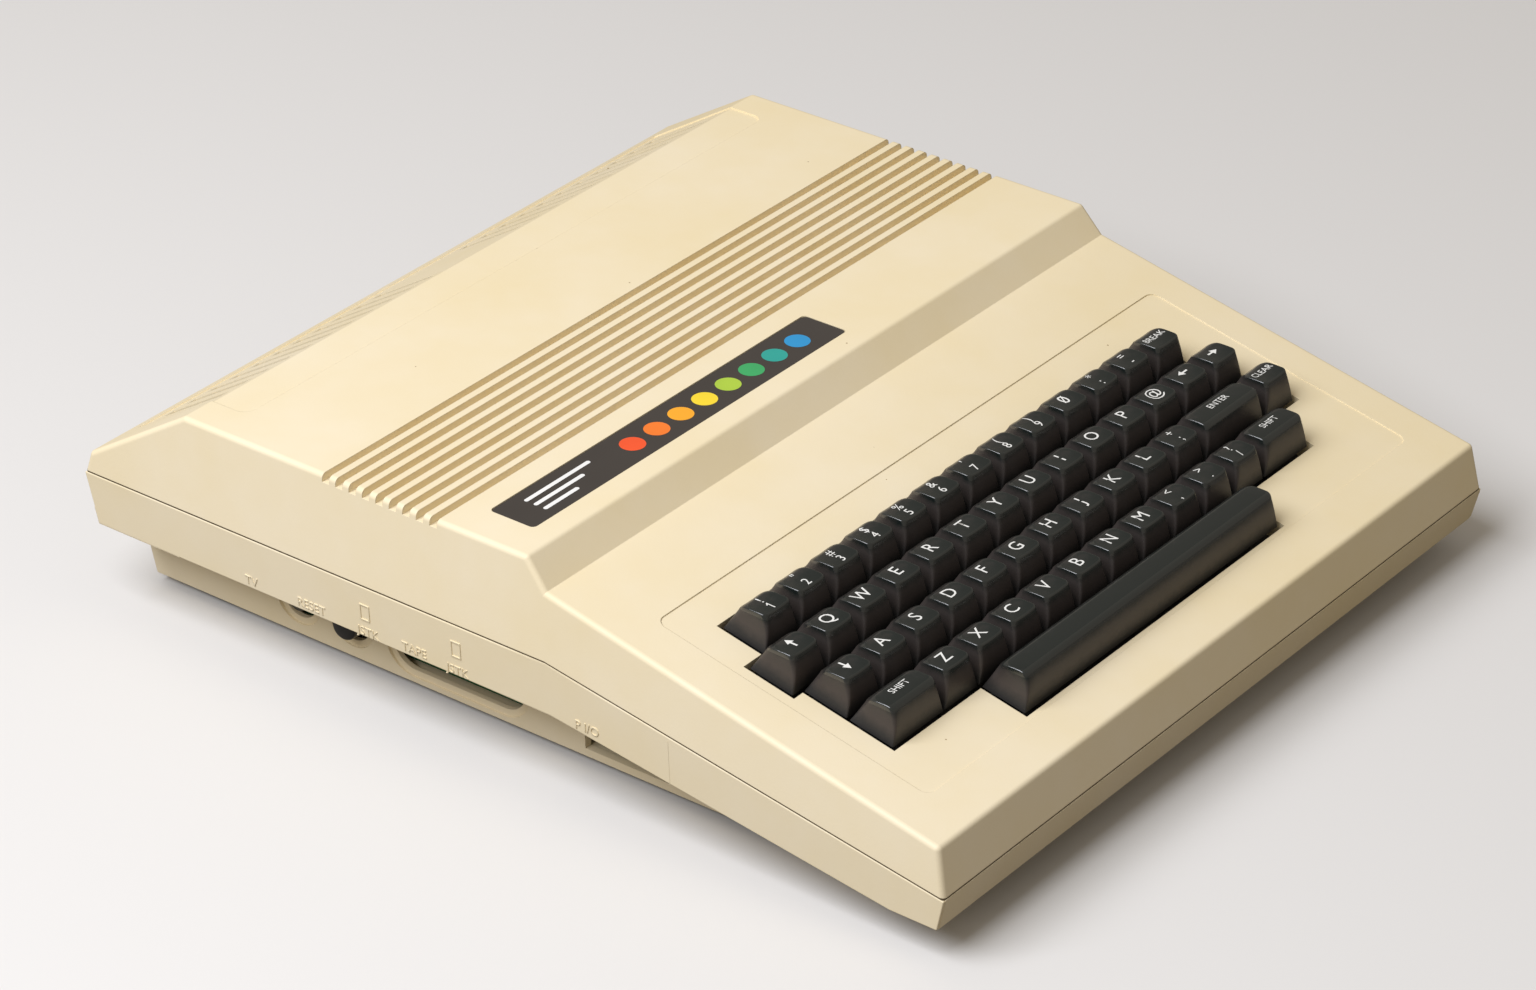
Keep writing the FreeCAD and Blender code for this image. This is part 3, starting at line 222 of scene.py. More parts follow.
def panel_mask(nodes, where):
    """One on the smooth keyboard panel and in the wells, nought elsewhere."""
    start = (0, (FRONT_LEAN - CASE_DEPTH / 2) * MM, (SEAM_FRONT_Z + FRONT_HEIGHT) * MM)
    slope = (0, math.cos(DECK_SLOPE), math.sin(DECK_SLOPE))
    out = (0, -math.sin(DECK_SLOPE), math.cos(DECK_SLOPE))
    up_deck = along(nodes, where, start, slope)
    across = sums(nodes, "ABSOLUTE", along(nodes, where, (0, 0, 0), (1, 0, 0)))
    tests = [sums(nodes, "LESS_THAN", along(nodes, where, start, out), -0.2 * MM),
             sums(nodes, "LESS_THAN", across, PANEL_HALF_WIDTH * MM),
             sums(nodes, "GREATER_THAN", up_deck, PANEL_FRONT * MM),
             sums(nodes, "LESS_THAN", up_deck, PANEL_REAR * MM)]
    mask = tests[0]
    for test in tests[1:]:
        mask = sums(nodes, "MULTIPLY", mask, test)
    return mask


def specks(nodes, where):
    """One in a few small scattered spots, nought elsewhere."""
    cells = nodes.new("ShaderNodeTexVoronoi")
    cells.inputs["Scale"].default_value = 95
    nodes.id_data.links.new(where, cells.inputs["Vector"])
    near = sums(nodes, "LESS_THAN", cells.outputs["Distance"], 0.035)
    pick = nodes.new("ShaderNodeSeparateColor")
    nodes.id_data.links.new(cells.outputs["Color"], pick.inputs["Color"])
    few = sums(nodes, "GREATER_THAN", pick.outputs["Red"], 0.86)
    return sums(nodes, "MULTIPLY", near, few)


def cream_plastic():
    """Yellowed moulded plastic: a fine grain outside the smooth keyboard panel, specks and age, and
    darker and yellower towards the right, partly real yellowing and partly painted shade of the
    light falling off.
    """
    made, links, shader = tree("cream plastic")
    nodes = links.nodes
    where = place_of(nodes)
    # Painted shade: the cream runs darker and yellower to the right, partly real yellowing and
    # partly the light's falloff.
    rightward = along(nodes, where, (0, 0, 0), (YELLOWED_AND_SHADED_TO_RIGHT, 0, 0))
    clouds = sums(nodes, "ADD", noise(nodes, where, 14, 4, 0.6), rightward)
    colour = ramp(nodes, clouds, [(0.30, CREAM), (0.80, CREAM_AGED_AND_SHADED)])
    spots = nodes.new("ShaderNodeMix")
    spots.data_type = "RGBA"
    spots.inputs["B"].default_value = (*SPECK, 1)
    links.links.new(specks(nodes, where), spots.inputs["Factor"])
    links.links.new(colour, spots.inputs["A"])
    links.links.new(spots.outputs["Result"], shader.inputs["Base Color"])
    shader.inputs["Roughness"].default_value = 0.5
    shader.inputs["Specular IOR Level"].default_value = 0.35
    rough = sums(nodes, "SUBTRACT", 1.0, panel_mask(nodes, where))
    grain = noise(nodes, where, 1300, 2, 0.6)
    rounded = nodes.new("ShaderNodeBevel")
    rounded.inputs["Radius"].default_value = 0.35 * MM
    rounded.samples = 4
    height = sums(nodes, "MULTIPLY", grain, sums(nodes, "ADD", 0.12, rough))
    normal = bump(nodes, height, 0.45, 0.06 * MM, rounded.outputs["Normal"])
    links.links.new(normal, shader.inputs["Normal"])
    return made


def plain(name, colour, rough, metal=0.0, grain=400, depth=0.02, spread=0.15, level=0.5):
    """A material with slight changes of tone and a fine grain."""
    made, links, shader = tree(name)
    nodes = links.nodes
    where = place_of(nodes)
    tones = noise(nodes, where, grain / 8, 3)
    dark = tuple(c * (1 - spread) for c in colour)
    light = tuple(min(1, c * (1 + spread)) for c in colour)
    links.links.new(ramp(nodes, tones, [(0.3, dark), (0.7, light)]), shader.inputs["Base Color"])
    shader.inputs["Roughness"].default_value = rough
    shader.inputs["Metallic"].default_value = metal
    shader.inputs["Specular IOR Level"].default_value = level
    fine = noise(nodes, where, grain * 4, 2)
    links.links.new(bump(nodes, fine, 0.3, depth * MM), shader.inputs["Normal"])
    return made


def keycap_plastic(name, skirt_rough, top_rough, level):
    """Green-black satin plastic, with brown dust that settled on the skirts of the caps, darker
    towards the foot of the skirts.
    """
    made, links, shader = tree(name)
    nodes = links.nodes
    where = place_of(nodes)
    apart = nodes.new("ShaderNodeSeparateXYZ")
    links.links.new(where, apart.inputs["Vector"])
    patches = noise(nodes, where, 260, 4, 0.65)
    height = sums(nodes, "ADD", apart.outputs["Z"], sums(nodes, "MULTIPLY", patches, -4 * MM))
    skirt_height = nodes.new("ShaderNodeMapRange")
    skirt_height.inputs["From Min"].default_value = -1 * MM
    skirt_height.inputs["From Max"].default_value = 9 * MM
    links.links.new(height, skirt_height.inputs["Value"])
    # The colour runs from darker at the foot of the skirts to brown part way up and green-black on
    # the top.
    colour = ramp(nodes, skirt_height.outputs["Result"],
                  [(0.0, (0.016, 0.015, 0.014)), (0.35, (0.046, 0.037, 0.033)),
                   (0.7, (0.040, 0.034, 0.031)), (0.93, (0.010, 0.014, 0.013)),
                   (1.0, (0.008, 0.012, 0.011))])
    links.links.new(colour, shader.inputs["Base Color"])
    shader.inputs["Specular IOR Level"].default_value = level
    rough = nodes.new("ShaderNodeMapRange")
    rough.inputs["To Min"].default_value = skirt_rough
    rough.inputs["To Max"].default_value = top_rough
    links.links.new(skirt_height.outputs["Result"], rough.inputs["Value"])
    links.links.new(rough.outputs["Result"], shader.inputs["Roughness"])
    fine = noise(nodes, where, 1800, 2)
    links.links.new(bump(nodes, fine, 0.25, 0.015 * MM), shader.inputs["Normal"])
    return made


FINISH = {
    "case_cream": cream_plastic(),
    "badge_black": plain("badge black", (0.045, 0.038, 0.033), 0.25, spread=0.05, depth=0.005),
    "keycap_black": keycap_plastic("keycap plastic", 0.55, 0.30, 0.5),
    "button_black": plain("button black", (0.02, 0.02, 0.02), 0.35),
    "socket_black": plain("socket black", (0.03, 0.035, 0.03), 0.5),
    "chip_black": plain("chip black", (0.025, 0.025, 0.025), 0.6),
    "board_green": plain("board green", (0.035, 0.14, 0.055), 0.35),
    "board_tan": plain("board tan", (0.38, 0.24, 0.10), 0.5),
    "frame_black": plain("frame black", (0.035, 0.035, 0.035), 0.55),
    "heatsink_metal": plain("heatsink metal", (0.6, 0.6, 0.61), 0.35, 1.0),
    "shield_metal": plain("shield metal", (0.55, 0.55, 0.53), 0.4, 1.0),
    "screw_steel": plain("screw steel", (0.5, 0.49, 0.45), 0.35, 1.0),
    "foot_rubber": plain("foot rubber", (0.03, 0.03, 0.03), 0.8, grain=800),
}
LEGEND_WHITE = plain("legend white", (0.82, 0.82, 0.78), 0.5, spread=0.04, depth=0.003)
RUBBED_EDGE = keycap_plastic("rubbed keycap edge", 0.3, 0.2, 1.0)
SLOTS = {part["node"]: part["material_slot"] for part in frame["record"]["subparts"]}
for name, item in frame["nodes"].items():
    item.data.materials.clear()
    item.data.materials.append(FINISH[SLOTS[name]])


def new_piece(name, vertices, faces, looks, marks=None, smooth=True):
    """A mesh object from points in millimetres, with a material number for each face."""
    mesh = bpy.data.meshes.new(name)
    mesh.from_pydata([Vector(point) * MM for point in vertices], [], faces)
    for look in looks:
        mesh.materials.append(look)
    if marks:
        mesh.polygons.foreach_set("material_index", marks)
    mesh.polygons.foreach_set("use_smooth", [smooth] * len(mesh.polygons))
    made = bpy.data.objects.new(name, mesh)
    bpy.context.scene.collection.objects.link(made)
    return made


def set_on(piece, body, place=None, replaced=()):
    """Put a piece in its place, on its body and the nodes it replaces."""
    if place is not None:
        piece.matrix_world = place
    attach(piece, body)
    if replaced:
        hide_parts(*replaced)
    return piece


def letters(text, tall):
    """Flat letters with capitals of a height, centred on the origin: points and faces."""
    curve = bpy.data.curves.new("letters", "FONT")
    curve.body = text
    curve.align_x = "CENTER"
    curve.resolution_u = 3
    curve.offset = LETTER_BOLD
    shown = bpy.data.objects.new("letters", curve)
    mesh = bpy.data.meshes.new_from_object(shown)
    grow = tall / CAPITAL_SHARE
    points = [(v.co.x * grow, v.co.y * grow - tall / 2) for v in mesh.vertices]
    faces = [tuple(p.vertices) for p in mesh.polygons]
    bpy.data.objects.remove(shown)
    bpy.data.curves.remove(curve)
    bpy.data.meshes.remove(mesh)
    return points, faces


def arrow(way, tall):
    """A flat arrow that points to the rear, front, left or right."""
    head = 0.5 * tall
    shaft = 0.075 * tall
    points = [(-shaft, -tall / 2), (shaft, -tall / 2), (shaft, tall / 2 - head),
              (head * 0.6, tall / 2 - head), (0, tall / 2), (-head * 0.6, tall / 2 - head),
              (-shaft, tall / 2 - head)]
    turn = Matrix.Rotation(ARROW_TURNS[way], 2)
    return [tuple(turn @ Vector(p)) for p in points], [(0, 1, 2, 6), (6, 2, 3, 4, 5)]


def slashed_zero(tall):
    """A nought with a stroke through it."""
    points, faces = letters("0", tall)
    first = len(points)
    reach = Vector((0.27, 0.42)) * tall
    side = Vector((-0.42, 0.27)).normalized() * 0.045 * tall
    points += [tuple(-reach - side), tuple(reach - side), tuple(reach + side), tuple(side - reach)]
    return points, faces + [(first, first + 1, first + 2, first + 3)]


def flagged_one(tall):
    """A one with a slanted flag and no foot."""
    shares = [(-0.06, -0.5), (0.06, -0.5), (0.06, 0.5), (-0.04, 0.5), (-0.1, 0.39), (-0.27, 0.25),
              (-0.27, 0.12), (-0.06, 0.27)]
    return [(x * tall, y * tall) for x, y in shares], [tuple(range(len(shares)))]


# Keys

LETTER_BOLD = 0.0
CAPITAL_SHARE = 0.73
ARROW_TURNS = {"up": 0, "down": math.pi, "left": math.pi / 2, "right": -math.pi / 2}
LIFT = 0.04
EDGE_ROUND = 0.5
SOFT_ROUND = 1.6
REAR_ROUND = 1.9
CROWN = 0.2
FRONT_FOOT = 0.2
FRONT_BULGE = 0.6
SIDE_HOLLOW = 0.22
CORNER_STEPS = 5
ROUND_STEPS = 5
WALL_SHARES = (0, 0.12, 0.3, 0.5, 0.7, 0.85)
TOP_SHARES = (0.93, 0.78, 0.58, 0.36, 0.15)


class Cap:
    """The outer skin of one key cap, about its own middle in the deck's frame."""

    def __init__(self, units, height):
        self.half = units * PITCH / 2 - CAP_GAP
        self.deep = PITCH / 2 - CAP_GAP
        self.height = height
        self.dished = units == 1
        self.front = -self.deep + FRONT_CAP_LEAN
        self.rear = self.deep - REAR_CAP_LEAN
        self.supports = (round(6 * units), 3, round(6 * units), 3)
        self.front_round = EDGE_ROUND if self.dished else SOFT_ROUND

    def top(self, x, s):
        """Height of the top at a spot: level in the world, with a slight crown and a dish."""
        level = self.height - (s - self.front) * math.tan(DECK_SLOPE)
        along = (s - self.front) / (self.rear - self.front)
        dish = x * x / (2 * DISH_RADIUS) - DISH_SINK if self.dished else 0
        return level + CROWN * 4 * along * (1 - along) + dish

    def edge(self, rearward):
        """Radius of the top edge where it faces the rear (1), a side (0) or the front (-1)."""
        rear = (REAR_ROUND - EDGE_ROUND) * max(0, rearward) ** 2
        front = (self.front_round - EDGE_ROUND) * max(0, -rearward) ** 2
        return EDGE_ROUND + rear + front

    def outline(self, share, inset):
        """The cap's outline at a share of its height, drawn in by a share of its edge's radius."""
        bulge = math.sin(math.pi * share)
        side = self.half - SIDE_LEAN * (share + SIDE_HOLLOW * bulge) - EDGE_ROUND * inset
        front = (-self.deep + FRONT_FOOT * (1 - share) + FRONT_CAP_LEAN * share
                 - FRONT_BULGE * bulge + self.front_round * inset)
        rear = self.deep - REAR_CAP_LEAN * share - REAR_ROUND * inset
        near = 0.4 + 1.5 * share - 0.4 * inset
        far = 0.6 + 2.6 * share - 0.4 * inset
        corners = [(near - side, front + near, near, 180), (side - near, front + near, near, 270),
                   (side - far, rear - far, far, 0), (far - side, rear - far, far, 90)]
        ring = []
        for k, (x, s, radius, start) in enumerate(corners):
            for step in range(CORNER_STEPS + 1):
                angle = math.radians(start + 90 * step / CORNER_STEPS)
                ring.append((x + radius * math.cos(angle), s + radius * math.sin(angle),
                             math.sin(angle)))
            x, s, radius, start = corners[(k + 1) % 4]
            begin = Vector(ring[-1][:2])
            turn = math.radians(start)
            end = Vector((x + radius * math.cos(turn), s + radius * math.sin(turn)))
            for step in range(1, self.supports[k] + 1):
                spot = begin.lerp(end, step / (self.supports[k] + 1))
                ring.append((spot.x, spot.y, math.sin(turn)))
        return ring

    def skin(self):
        """Points and faces of the cap, from its skirt to the middle of its top."""
        rings = [[(x, s, share * (self.top(x, s) + CAP_DROP) - CAP_DROP)
                  for x, s, rearward in self.outline(share, 0)] for share in WALL_SHARES]
        for step in range(ROUND_STEPS + 1):
            angle = math.pi / 2 * step / ROUND_STEPS
            inset = 1 - math.cos(angle)
            ring = []
            for i, (x, s, rearward) in enumerate(self.outline(1, inset)):
                drop = self.edge(rearward) * (1 - math.sin(angle))
                share = 1 - drop / (self.top(x, s) + CAP_DROP)
                x, s = self.outline(share, inset)[i][:2]
                ring.append((x, s, self.top(x, s) - drop))
            rings.append(ring)
        rim = rings[-1]
        middle = (self.front + self.rear) / 2
        for share in TOP_SHARES:
            drawn_in = [(x * share, middle + (s - middle) * share) for x, s, n in rim]
            rings.append([(x, s, self.top(x, s)) for x, s in drawn_in])
        count = len(rim)
        points = [point for ring in rings for point in ring]
        faces = [(row * count + i, row * count + (i + 1) % count,
                  (row + 1) * count + (i + 1) % count, (row + 1) * count + i)
                 for row in range(len(rings) - 1) for i in range(count)]
        return points, faces + [tuple(range(len(points) - count, len(points)))]


PAIRS = {"one": "!1", "two": '"2', "three": "#3", "four": "$4", "five": "%5", "six": "&6",
         "seven": "'7", "eight": "(8", "nine": ")9", "colon": "*:", "minus": "=-",
         "semicolon": "+;", "comma": "<,", "period": ">.", "slash": "?/"}
WORDS = {"break": "BREAK", "enter": "ENTER", "clear": "CLEAR", "shift_left": "SHIFT",
         "shift_right": "SHIFT"}
LETTER_TALL = 5.3
PAIR_TALL = 3.8
WORD_TALL = 2.8
PAIR_REAR = 3.1
PAIR_FRONT = -1.6
WORD_UP = 1.9
LETTER_UP = 1.3


def legend(name):
    """Flat shapes of a key's legend, each with its place up the key: (points, faces, s)."""
    if name == "space":
        return []
    if name in PAIRS:
        rear, front = PAIRS[name]
        lower = flagged_one(PAIR_TALL) if front == "1" else letters(front, PAIR_TALL)
        return [(*letters(rear, PAIR_TALL), PAIR_REAR), (*lower, PAIR_FRONT)]
    if name in WORDS:
        return [(*letters(WORDS[name], WORD_TALL), WORD_UP)]
    if name in ARROW_TURNS:
        return [(*arrow(name, LETTER_TALL), LETTER_UP)]
    if name == "zero":
        return [(*slashed_zero(LETTER_TALL), LETTER_UP)]
    if name == "at":
        return [(*letters("@", LETTER_TALL), LETTER_UP)]
    return [(*letters(name.upper(), LETTER_TALL), LETTER_UP)]


def key(name, units, height):
    """Points, faces and material numbers of a cap: body 0, legend 1, rubbed edge 2."""
    cap = Cap(units, height)
    points, faces = cap.skin()
    around = len(cap.outline(0, 0))
    walls = (len(WALL_SHARES) - 1) * around
    marks = [0] * walls + [2] * (ROUND_STEPS + 1) * around
    marks += [0] * (len(faces) - len(marks))
    for flat, shapes, along in legend(name):
        first = len(points)
        points = points + [(x, s + along, cap.top(x, s + along) + LIFT) for x, s in flat]
        faces = faces + [tuple(first + i for i in shape) for shape in shapes]
        marks = marks + [1] * len(shapes)
    return points, faces, marks


TOP_ROW = "one two three four five six seven eight nine zero colon minus break".split()
SECOND_ROW = "up q w e r t y u i o p at left right".split()
THIRD_ROW = "down a s d f g h j k l semicolon enter clear".split()
FOURTH_ROW = "shift_left z x c v b n m comma period slash shift_right".split()
ROWS = [(0.5, TOP_ROW), (0.0, SECOND_ROW), (0.25, THIRD_ROW), (0.25, FOURTH_ROW),
        (2.75, ["space"])]
WIDE = {"enter": 2, "shift_left": 1.5, "shift_right": 1.5, "space": 8}
DECK = (Matrix.Translation((0, (FRONT_LEAN - CASE_DEPTH / 2) * MM,
                            (SEAM_FRONT_Z + FRONT_HEIGHT) * MM))
        @ Matrix.Rotation(DECK_SLOPE, 4, "X"))


def keyboard():
    """Every key cap with its legend: the top row is one piece, as it moves as one."""
    looks = [FINISH["keycap_black"], LEGEND_WHITE, RUBBED_EDGE]
    for number, (start, names) in enumerate(ROWS):
        s = KEYS_REAR - (number + 0.5) * PITCH
        row_points, row_faces, row_marks = [], [], []
        for name in names:
            units = WIDE.get(name, 1)
            x = KEYS_LEFT - HALF + (start + units / 2) * PITCH
            start += units
            points, faces, marks = key(name, units, SPACE_HEIGHT if name == "space" else CAP_HEIGHT)
            if names is not TOP_ROW:
                place = DECK @ Matrix.Translation(Vector((x, s, 0)) * MM)
                cap = new_piece("cap_" + name, points, faces, looks, marks)
                set_on(cap, "key_" + name, place, ["key_" + name])
                continue
            first = len(row_points)
            row_points += [(px + x, ps, pn) for px, ps, pn in points]
            row_faces += [tuple(first + i for i in face) for face in faces]
            row_marks += marks
        if names is TOP_ROW:
            place = DECK @ Matrix.Translation(Vector((0, s, 0)) * MM)
            caps = new_piece("caps_top_row", row_points, row_faces, looks, row_marks)
            set_on(caps, "keys_top_row", place, ["keys_top_row"])


keyboard()


# Badge plate

BADGE_LEFT = 19.3
BADGE_FRONT = 183.6
BADGE_DEPTH = 19.5
BADGE_TOP = TOP_Z - 0.2
PRINT_LIFT = 0.03
DISC_COLOURS = [(0.86, 0.09, 0.02), (0.90, 0.20, 0.02), (0.93, 0.40, 0.02), (0.92, 0.68, 0.03),
                (0.40, 0.58, 0.05), (0.04, 0.38, 0.12), (0.02, 0.36, 0.30), (0.02, 0.30, 0.62)]


def disc(x, y, radius, sides=40):
    """A flat round shape as points and one face."""
    points = [(x + radius * math.cos(2 * math.pi * i / sides),
               y + radius * math.sin(2 * math.pi * i / sides)) for i in range(sides)]
    return points, [tuple(range(sides))]


def bar(x, y, length, width):
    """A flat bar with round ends, by its middle."""
    sides = 12
    points = []
    for end in (1, -1):
        for i in range(sides + 1):
            angle = math.pi * (i / sides - 0.5) + (0 if end > 0 else math.pi)
            points.append((x + end * (length - width) / 2 + width / 2 * math.cos(angle),
                           y + width / 2 * math.sin(angle)))
    return points, [tuple(range(len(points)))]


def badge_print():
    """A plain printed pattern on the badge plate: white lines and a row of graded discs."""
    left = BADGE_LEFT - HALF
    y = BADGE_FRONT + BADGE_DEPTH / 2 - CASE_DEPTH / 2
    white = plain("print white", (0.86, 0.86, 0.84), 0.35, spread=0.03, depth=0.003)
    looks = [white] + [plain(f"print {i}", colour, 0.35, spread=0.05, depth=0.003)
                       for i, colour in enumerate(DISC_COLOURS)]
    shapes = []
    for i, length in enumerate((34, 26, 18)):
        shapes.append((*bar(left + 12 + length / 2, y + 4.2 * (1 - i), length, 1.7), 0))
    for i in range(len(DISC_COLOURS)):
        shapes.append((*disc(left + 64 + 13.2 * i, y, 4.7), i + 1))
    points, faces, marks = [], [], []
    for flat, loops, mark in shapes:
        first = len(points)
        points += [(px, py, BADGE_TOP + PRINT_LIFT) for px, py in flat]
        faces += [tuple(first + i for i in loop) for loop in loops]
        marks += [mark] * len(loops)
    art = new_piece("badge_print", points, faces, looks, marks, smooth=False)
    set_on(art, "case")


badge_print()


# Seam, rim and raised words

SEAM_REAR_Z = 52
SEAM_KINK = 164.3
SEAM_TURN = math.radians(9.37)
RIM_DRAFT = math.tan(math.radians(2.4))
RIM_LOW_Z = 31.6
RIM_FRONT_LOW_Z = 12.29
RIM_REAR_LOW_Y = 371.8
RIM_RISE_END_Y = 163.5
RIM_RISE_Y = 22
RIM_FRONT_LOW_Y = 3
RIM_THICK = 2.2
RIM_SINK = 0.3
GAP_INSET = 0.3
GAP_THICK = 0.45
GAP_CORNER = 0.8
GAP_TALL = 0.7
GAP_CLEAR = 0.03
LABEL_RISE = 0.28
LABELS = [("TV", 298, 35), ("RESET", 270, 35), ("JSTK", 244, 34), ("TAPE", 223, 35),
          ("JSTK", 203.7, 34), ("P I/O", 147, 33)]
MARKED_BOXES = [(244.8, 41.7), (203.8, 42.3)]
MOULD_LINE_Y = 112
MOULD_LINE_Z = 33.4
MOULD_LINE_RISE = 0.05
LABEL_TALL = 3.6
BOX_WIDE = 4.4
BOX_TALL = 6.4
BOX_LINE = 0.5


def rim_x(y, z):
    """The left rim's surface: it leans in from the seam's slope and from its level part."""
    sloped = SEAM_REAR_Z - (SEAM_KINK - y) * math.tan(SEAM_TURN) - z
    below = min(sloped * math.cos(SEAM_TURN), SEAM_REAR_Z - z)
    return -HALF + below * RIM_DRAFT


def rim_side(side):
    """One side of the rim, flush with the shell above the seam, with softly broken edges."""
    fold = SEAM_KINK + (SEAM_REAR_Z - RIM_LOW_Z) * math.tan(SEAM_TURN / 2)
    outline = [(0, SEAM_FRONT_Z, 1, -1), (SEAM_KINK, SEAM_REAR_Z, 0, -1),
               (CASE_DEPTH, SEAM_REAR_Z, -1, -1), (RIM_REAR_LOW_Y, RIM_LOW_Z, -1, 1),
               (fold, RIM_LOW_Z, 0, 1), (RIM_RISE_END_Y, RIM_LOW_Z, 0, 1),
               (RIM_RISE_Y, RIM_FRONT_LOW_Z, 0, 1), (RIM_FRONT_LOW_Y, RIM_FRONT_LOW_Z, 1, 1)]
    count = len(outline)
    points = [(-side * rim_x(y, z), y, z) for y, z, dy, dz in outline]
    points += [(-side * (rim_x(y, z) + RIM_THICK), y + RIM_SINK * dy, z + RIM_SINK * dz)
               for y, z, dy, dz in outline]
    points = [(x, y - CASE_DEPTH / 2, z) for x, y, z in points]
    faces = [(0, 1, 4, 5, 6, 7), (1, 2, 3, 4), tuple(range(2 * count - 1, count - 1, -1))]
    faces += [((i + 1) % count, i, count + i, count + (i + 1) % count) for i in range(count)]
    if side > 0:
        faces = [tuple(reversed(face)) for face in faces]
    name = "rim_side_" + ("left" if side < 0 else "right")
    made = new_piece(name, points, faces, [FINISH["case_cream"]], smooth=False)
    edges = made.modifiers.new("broken edges", "BEVEL")
    edges.width = 0.4 * MM
    edges.segments = 3
    edges.limit_method = "ANGLE"
    set_on(made, "case")


def raised(shapes, y, z, rise=LABEL_RISE):
    """Flat shapes stood up on the left rim, raised a little, with walls down to it."""
    points, faces = [], []
    for flat, loops in shapes:
        edges = {}
        for loop in loops:
            for a, b in zip(loop, loop[1:] + loop[:1]):
                edges[(a, b)] = edges.get((a, b), 0) + 1
        first = len(points)
        count = len(flat)
        for out in (rise, -rise):
            for px, pz in flat:
                points.append((rim_x(y - px, z + pz) - out, y - px - CASE_DEPTH / 2, z + pz))
        faces += [tuple(first + i for i in loop) for loop in loops]
        for a, b in edges:
            if (b, a) not in edges:
                faces.append((first + b, first + a, first + count + a, first + count + b))
    return points, faces


def rim_labels():
    """Small raised words over the ports, two boxed marks and a fine moulding line."""
    points, faces = [], []
    groups = [([letters(text, LABEL_TALL)], y, z) for text, y, z in LABELS]
    line = [([(-0.12, -9), (0.12, -9), (0.12, 8.5), (-0.12, 8.5)], [(0, 1, 2, 3)])]
    groups.append((line, MOULD_LINE_Y, MOULD_LINE_Z, MOULD_LINE_RISE))
    wide, tall = BOX_WIDE / 2, BOX_TALL / 2
    inner_wide, inner_tall = wide - BOX_LINE, tall - BOX_LINE
    bars = [(-wide, -tall, -inner_wide, tall), (inner_wide, -tall, wide, tall),
            (-inner_wide, -tall, inner_wide, -inner_tall),
            (-inner_wide, inner_tall, inner_wide, tall)]
    outline = [([(x1, z1), (x2, z1), (x2, z2), (x1, z2)], [(0, 1, 2, 3)])
               for x1, z1, x2, z2 in bars]
    groups += [(outline, y, z) for y, z in MARKED_BOXES]
    for group in groups:
        first = len(points)
        more_points, more_faces = raised(*group)
        points += more_points
        faces += [tuple(first + i for i in face) for face in more_faces]
    labels = new_piece("rim_labels", points, faces, [FINISH["case_cream"]], smooth=False)
    set_on(labels, "case")


def seam_shade_band():
    """A dark band of painted shade for the gap between the two shells, at the floor of the groove
    that runs all round.
    """
    # Painted shade: a dark brown band stands where the seam's gap is in shade.
    brown = plain("shade in the seam", (0.10, 0.07, 0.035), 0.8, spread=0.1)
    rings = []
    for inset, lift in ((GAP_INSET, GAP_CLEAR), (GAP_INSET, GAP_TALL - GAP_CLEAR),
                        (GAP_INSET + GAP_THICK, GAP_TALL - GAP_CLEAR),
                        (GAP_INSET + GAP_THICK, GAP_CLEAR)):
        side = HALF - inset
        front, rear = inset, CASE_DEPTH - inset
        low = SEAM_FRONT_Z + inset * math.tan(SEAM_TURN)
        start = low + GAP_CORNER * math.tan(SEAM_TURN)
        ring = [(GAP_CORNER - side, front, low), (side - GAP_CORNER, front, low),
                (side, front + GAP_CORNER, start), (side, SEAM_KINK, SEAM_REAR_Z),
                (side, rear - GAP_CORNER, SEAM_REAR_Z), (side - GAP_CORNER, rear, SEAM_REAR_Z),
                (GAP_CORNER - side, rear, SEAM_REAR_Z), (-side, rear - GAP_CORNER, SEAM_REAR_Z),
                (-side, SEAM_KINK, SEAM_REAR_Z), (-side, front + GAP_CORNER, start)]
        rings.append([(x, y - CASE_DEPTH / 2, z + lift) for x, y, z in ring])
    count = len(rings[0])
    points = [point for ring in rings for point in ring]
    faces = [(row * count + i, row * count + (i + 1) % count,
              (row + 1) % 4 * count + (i + 1) % count, (row + 1) % 4 * count + i)
             for row in range(4) for i in range(count)]
    gap = new_piece("seam_shade_band", points, faces, [brown], smooth=False)
    set_on(gap, "case")


for side in (-1, 1):
    rim_side(side)
seam_shade_band()
rim_labels()


def lathe(profile, sides=32):
    """A turned shape from (radius, along) points, about its own Z axis."""
    points = [(r * math.cos(2 * math.pi * i / sides), r * math.sin(2 * math.pi * i / sides), z)
              for r, z in profile for i in range(sides)]
    faces = [(row * sides + i, (row + 1) * sides + i,
              (row + 1) * sides + (i + 1) % sides, row * sides + (i + 1) % sides)
             for row in range(len(profile) - 1) for i in range(sides)]
    return points, faces


def turned(name, profile, looks, body, place, sides=32, replaced=()):
    """A turned piece, set on a body."""
    points, faces = lathe(profile, sides)
    return set_on(new_piece(name, points, faces, looks), body, place, replaced)


# Ports, screws and feet

TO_LEFT = Matrix.Rotation(-math.pi / 2, 4, "Y")
DIN_FACE = -BASE_HALF + 5.4
PIN_RING = 3.3


def spot(x, y, z):
    """A place in millimetres, y counted from the front seam."""
    return Matrix.Translation(Vector((x, y - CASE_DEPTH / 2, z)) * MM)


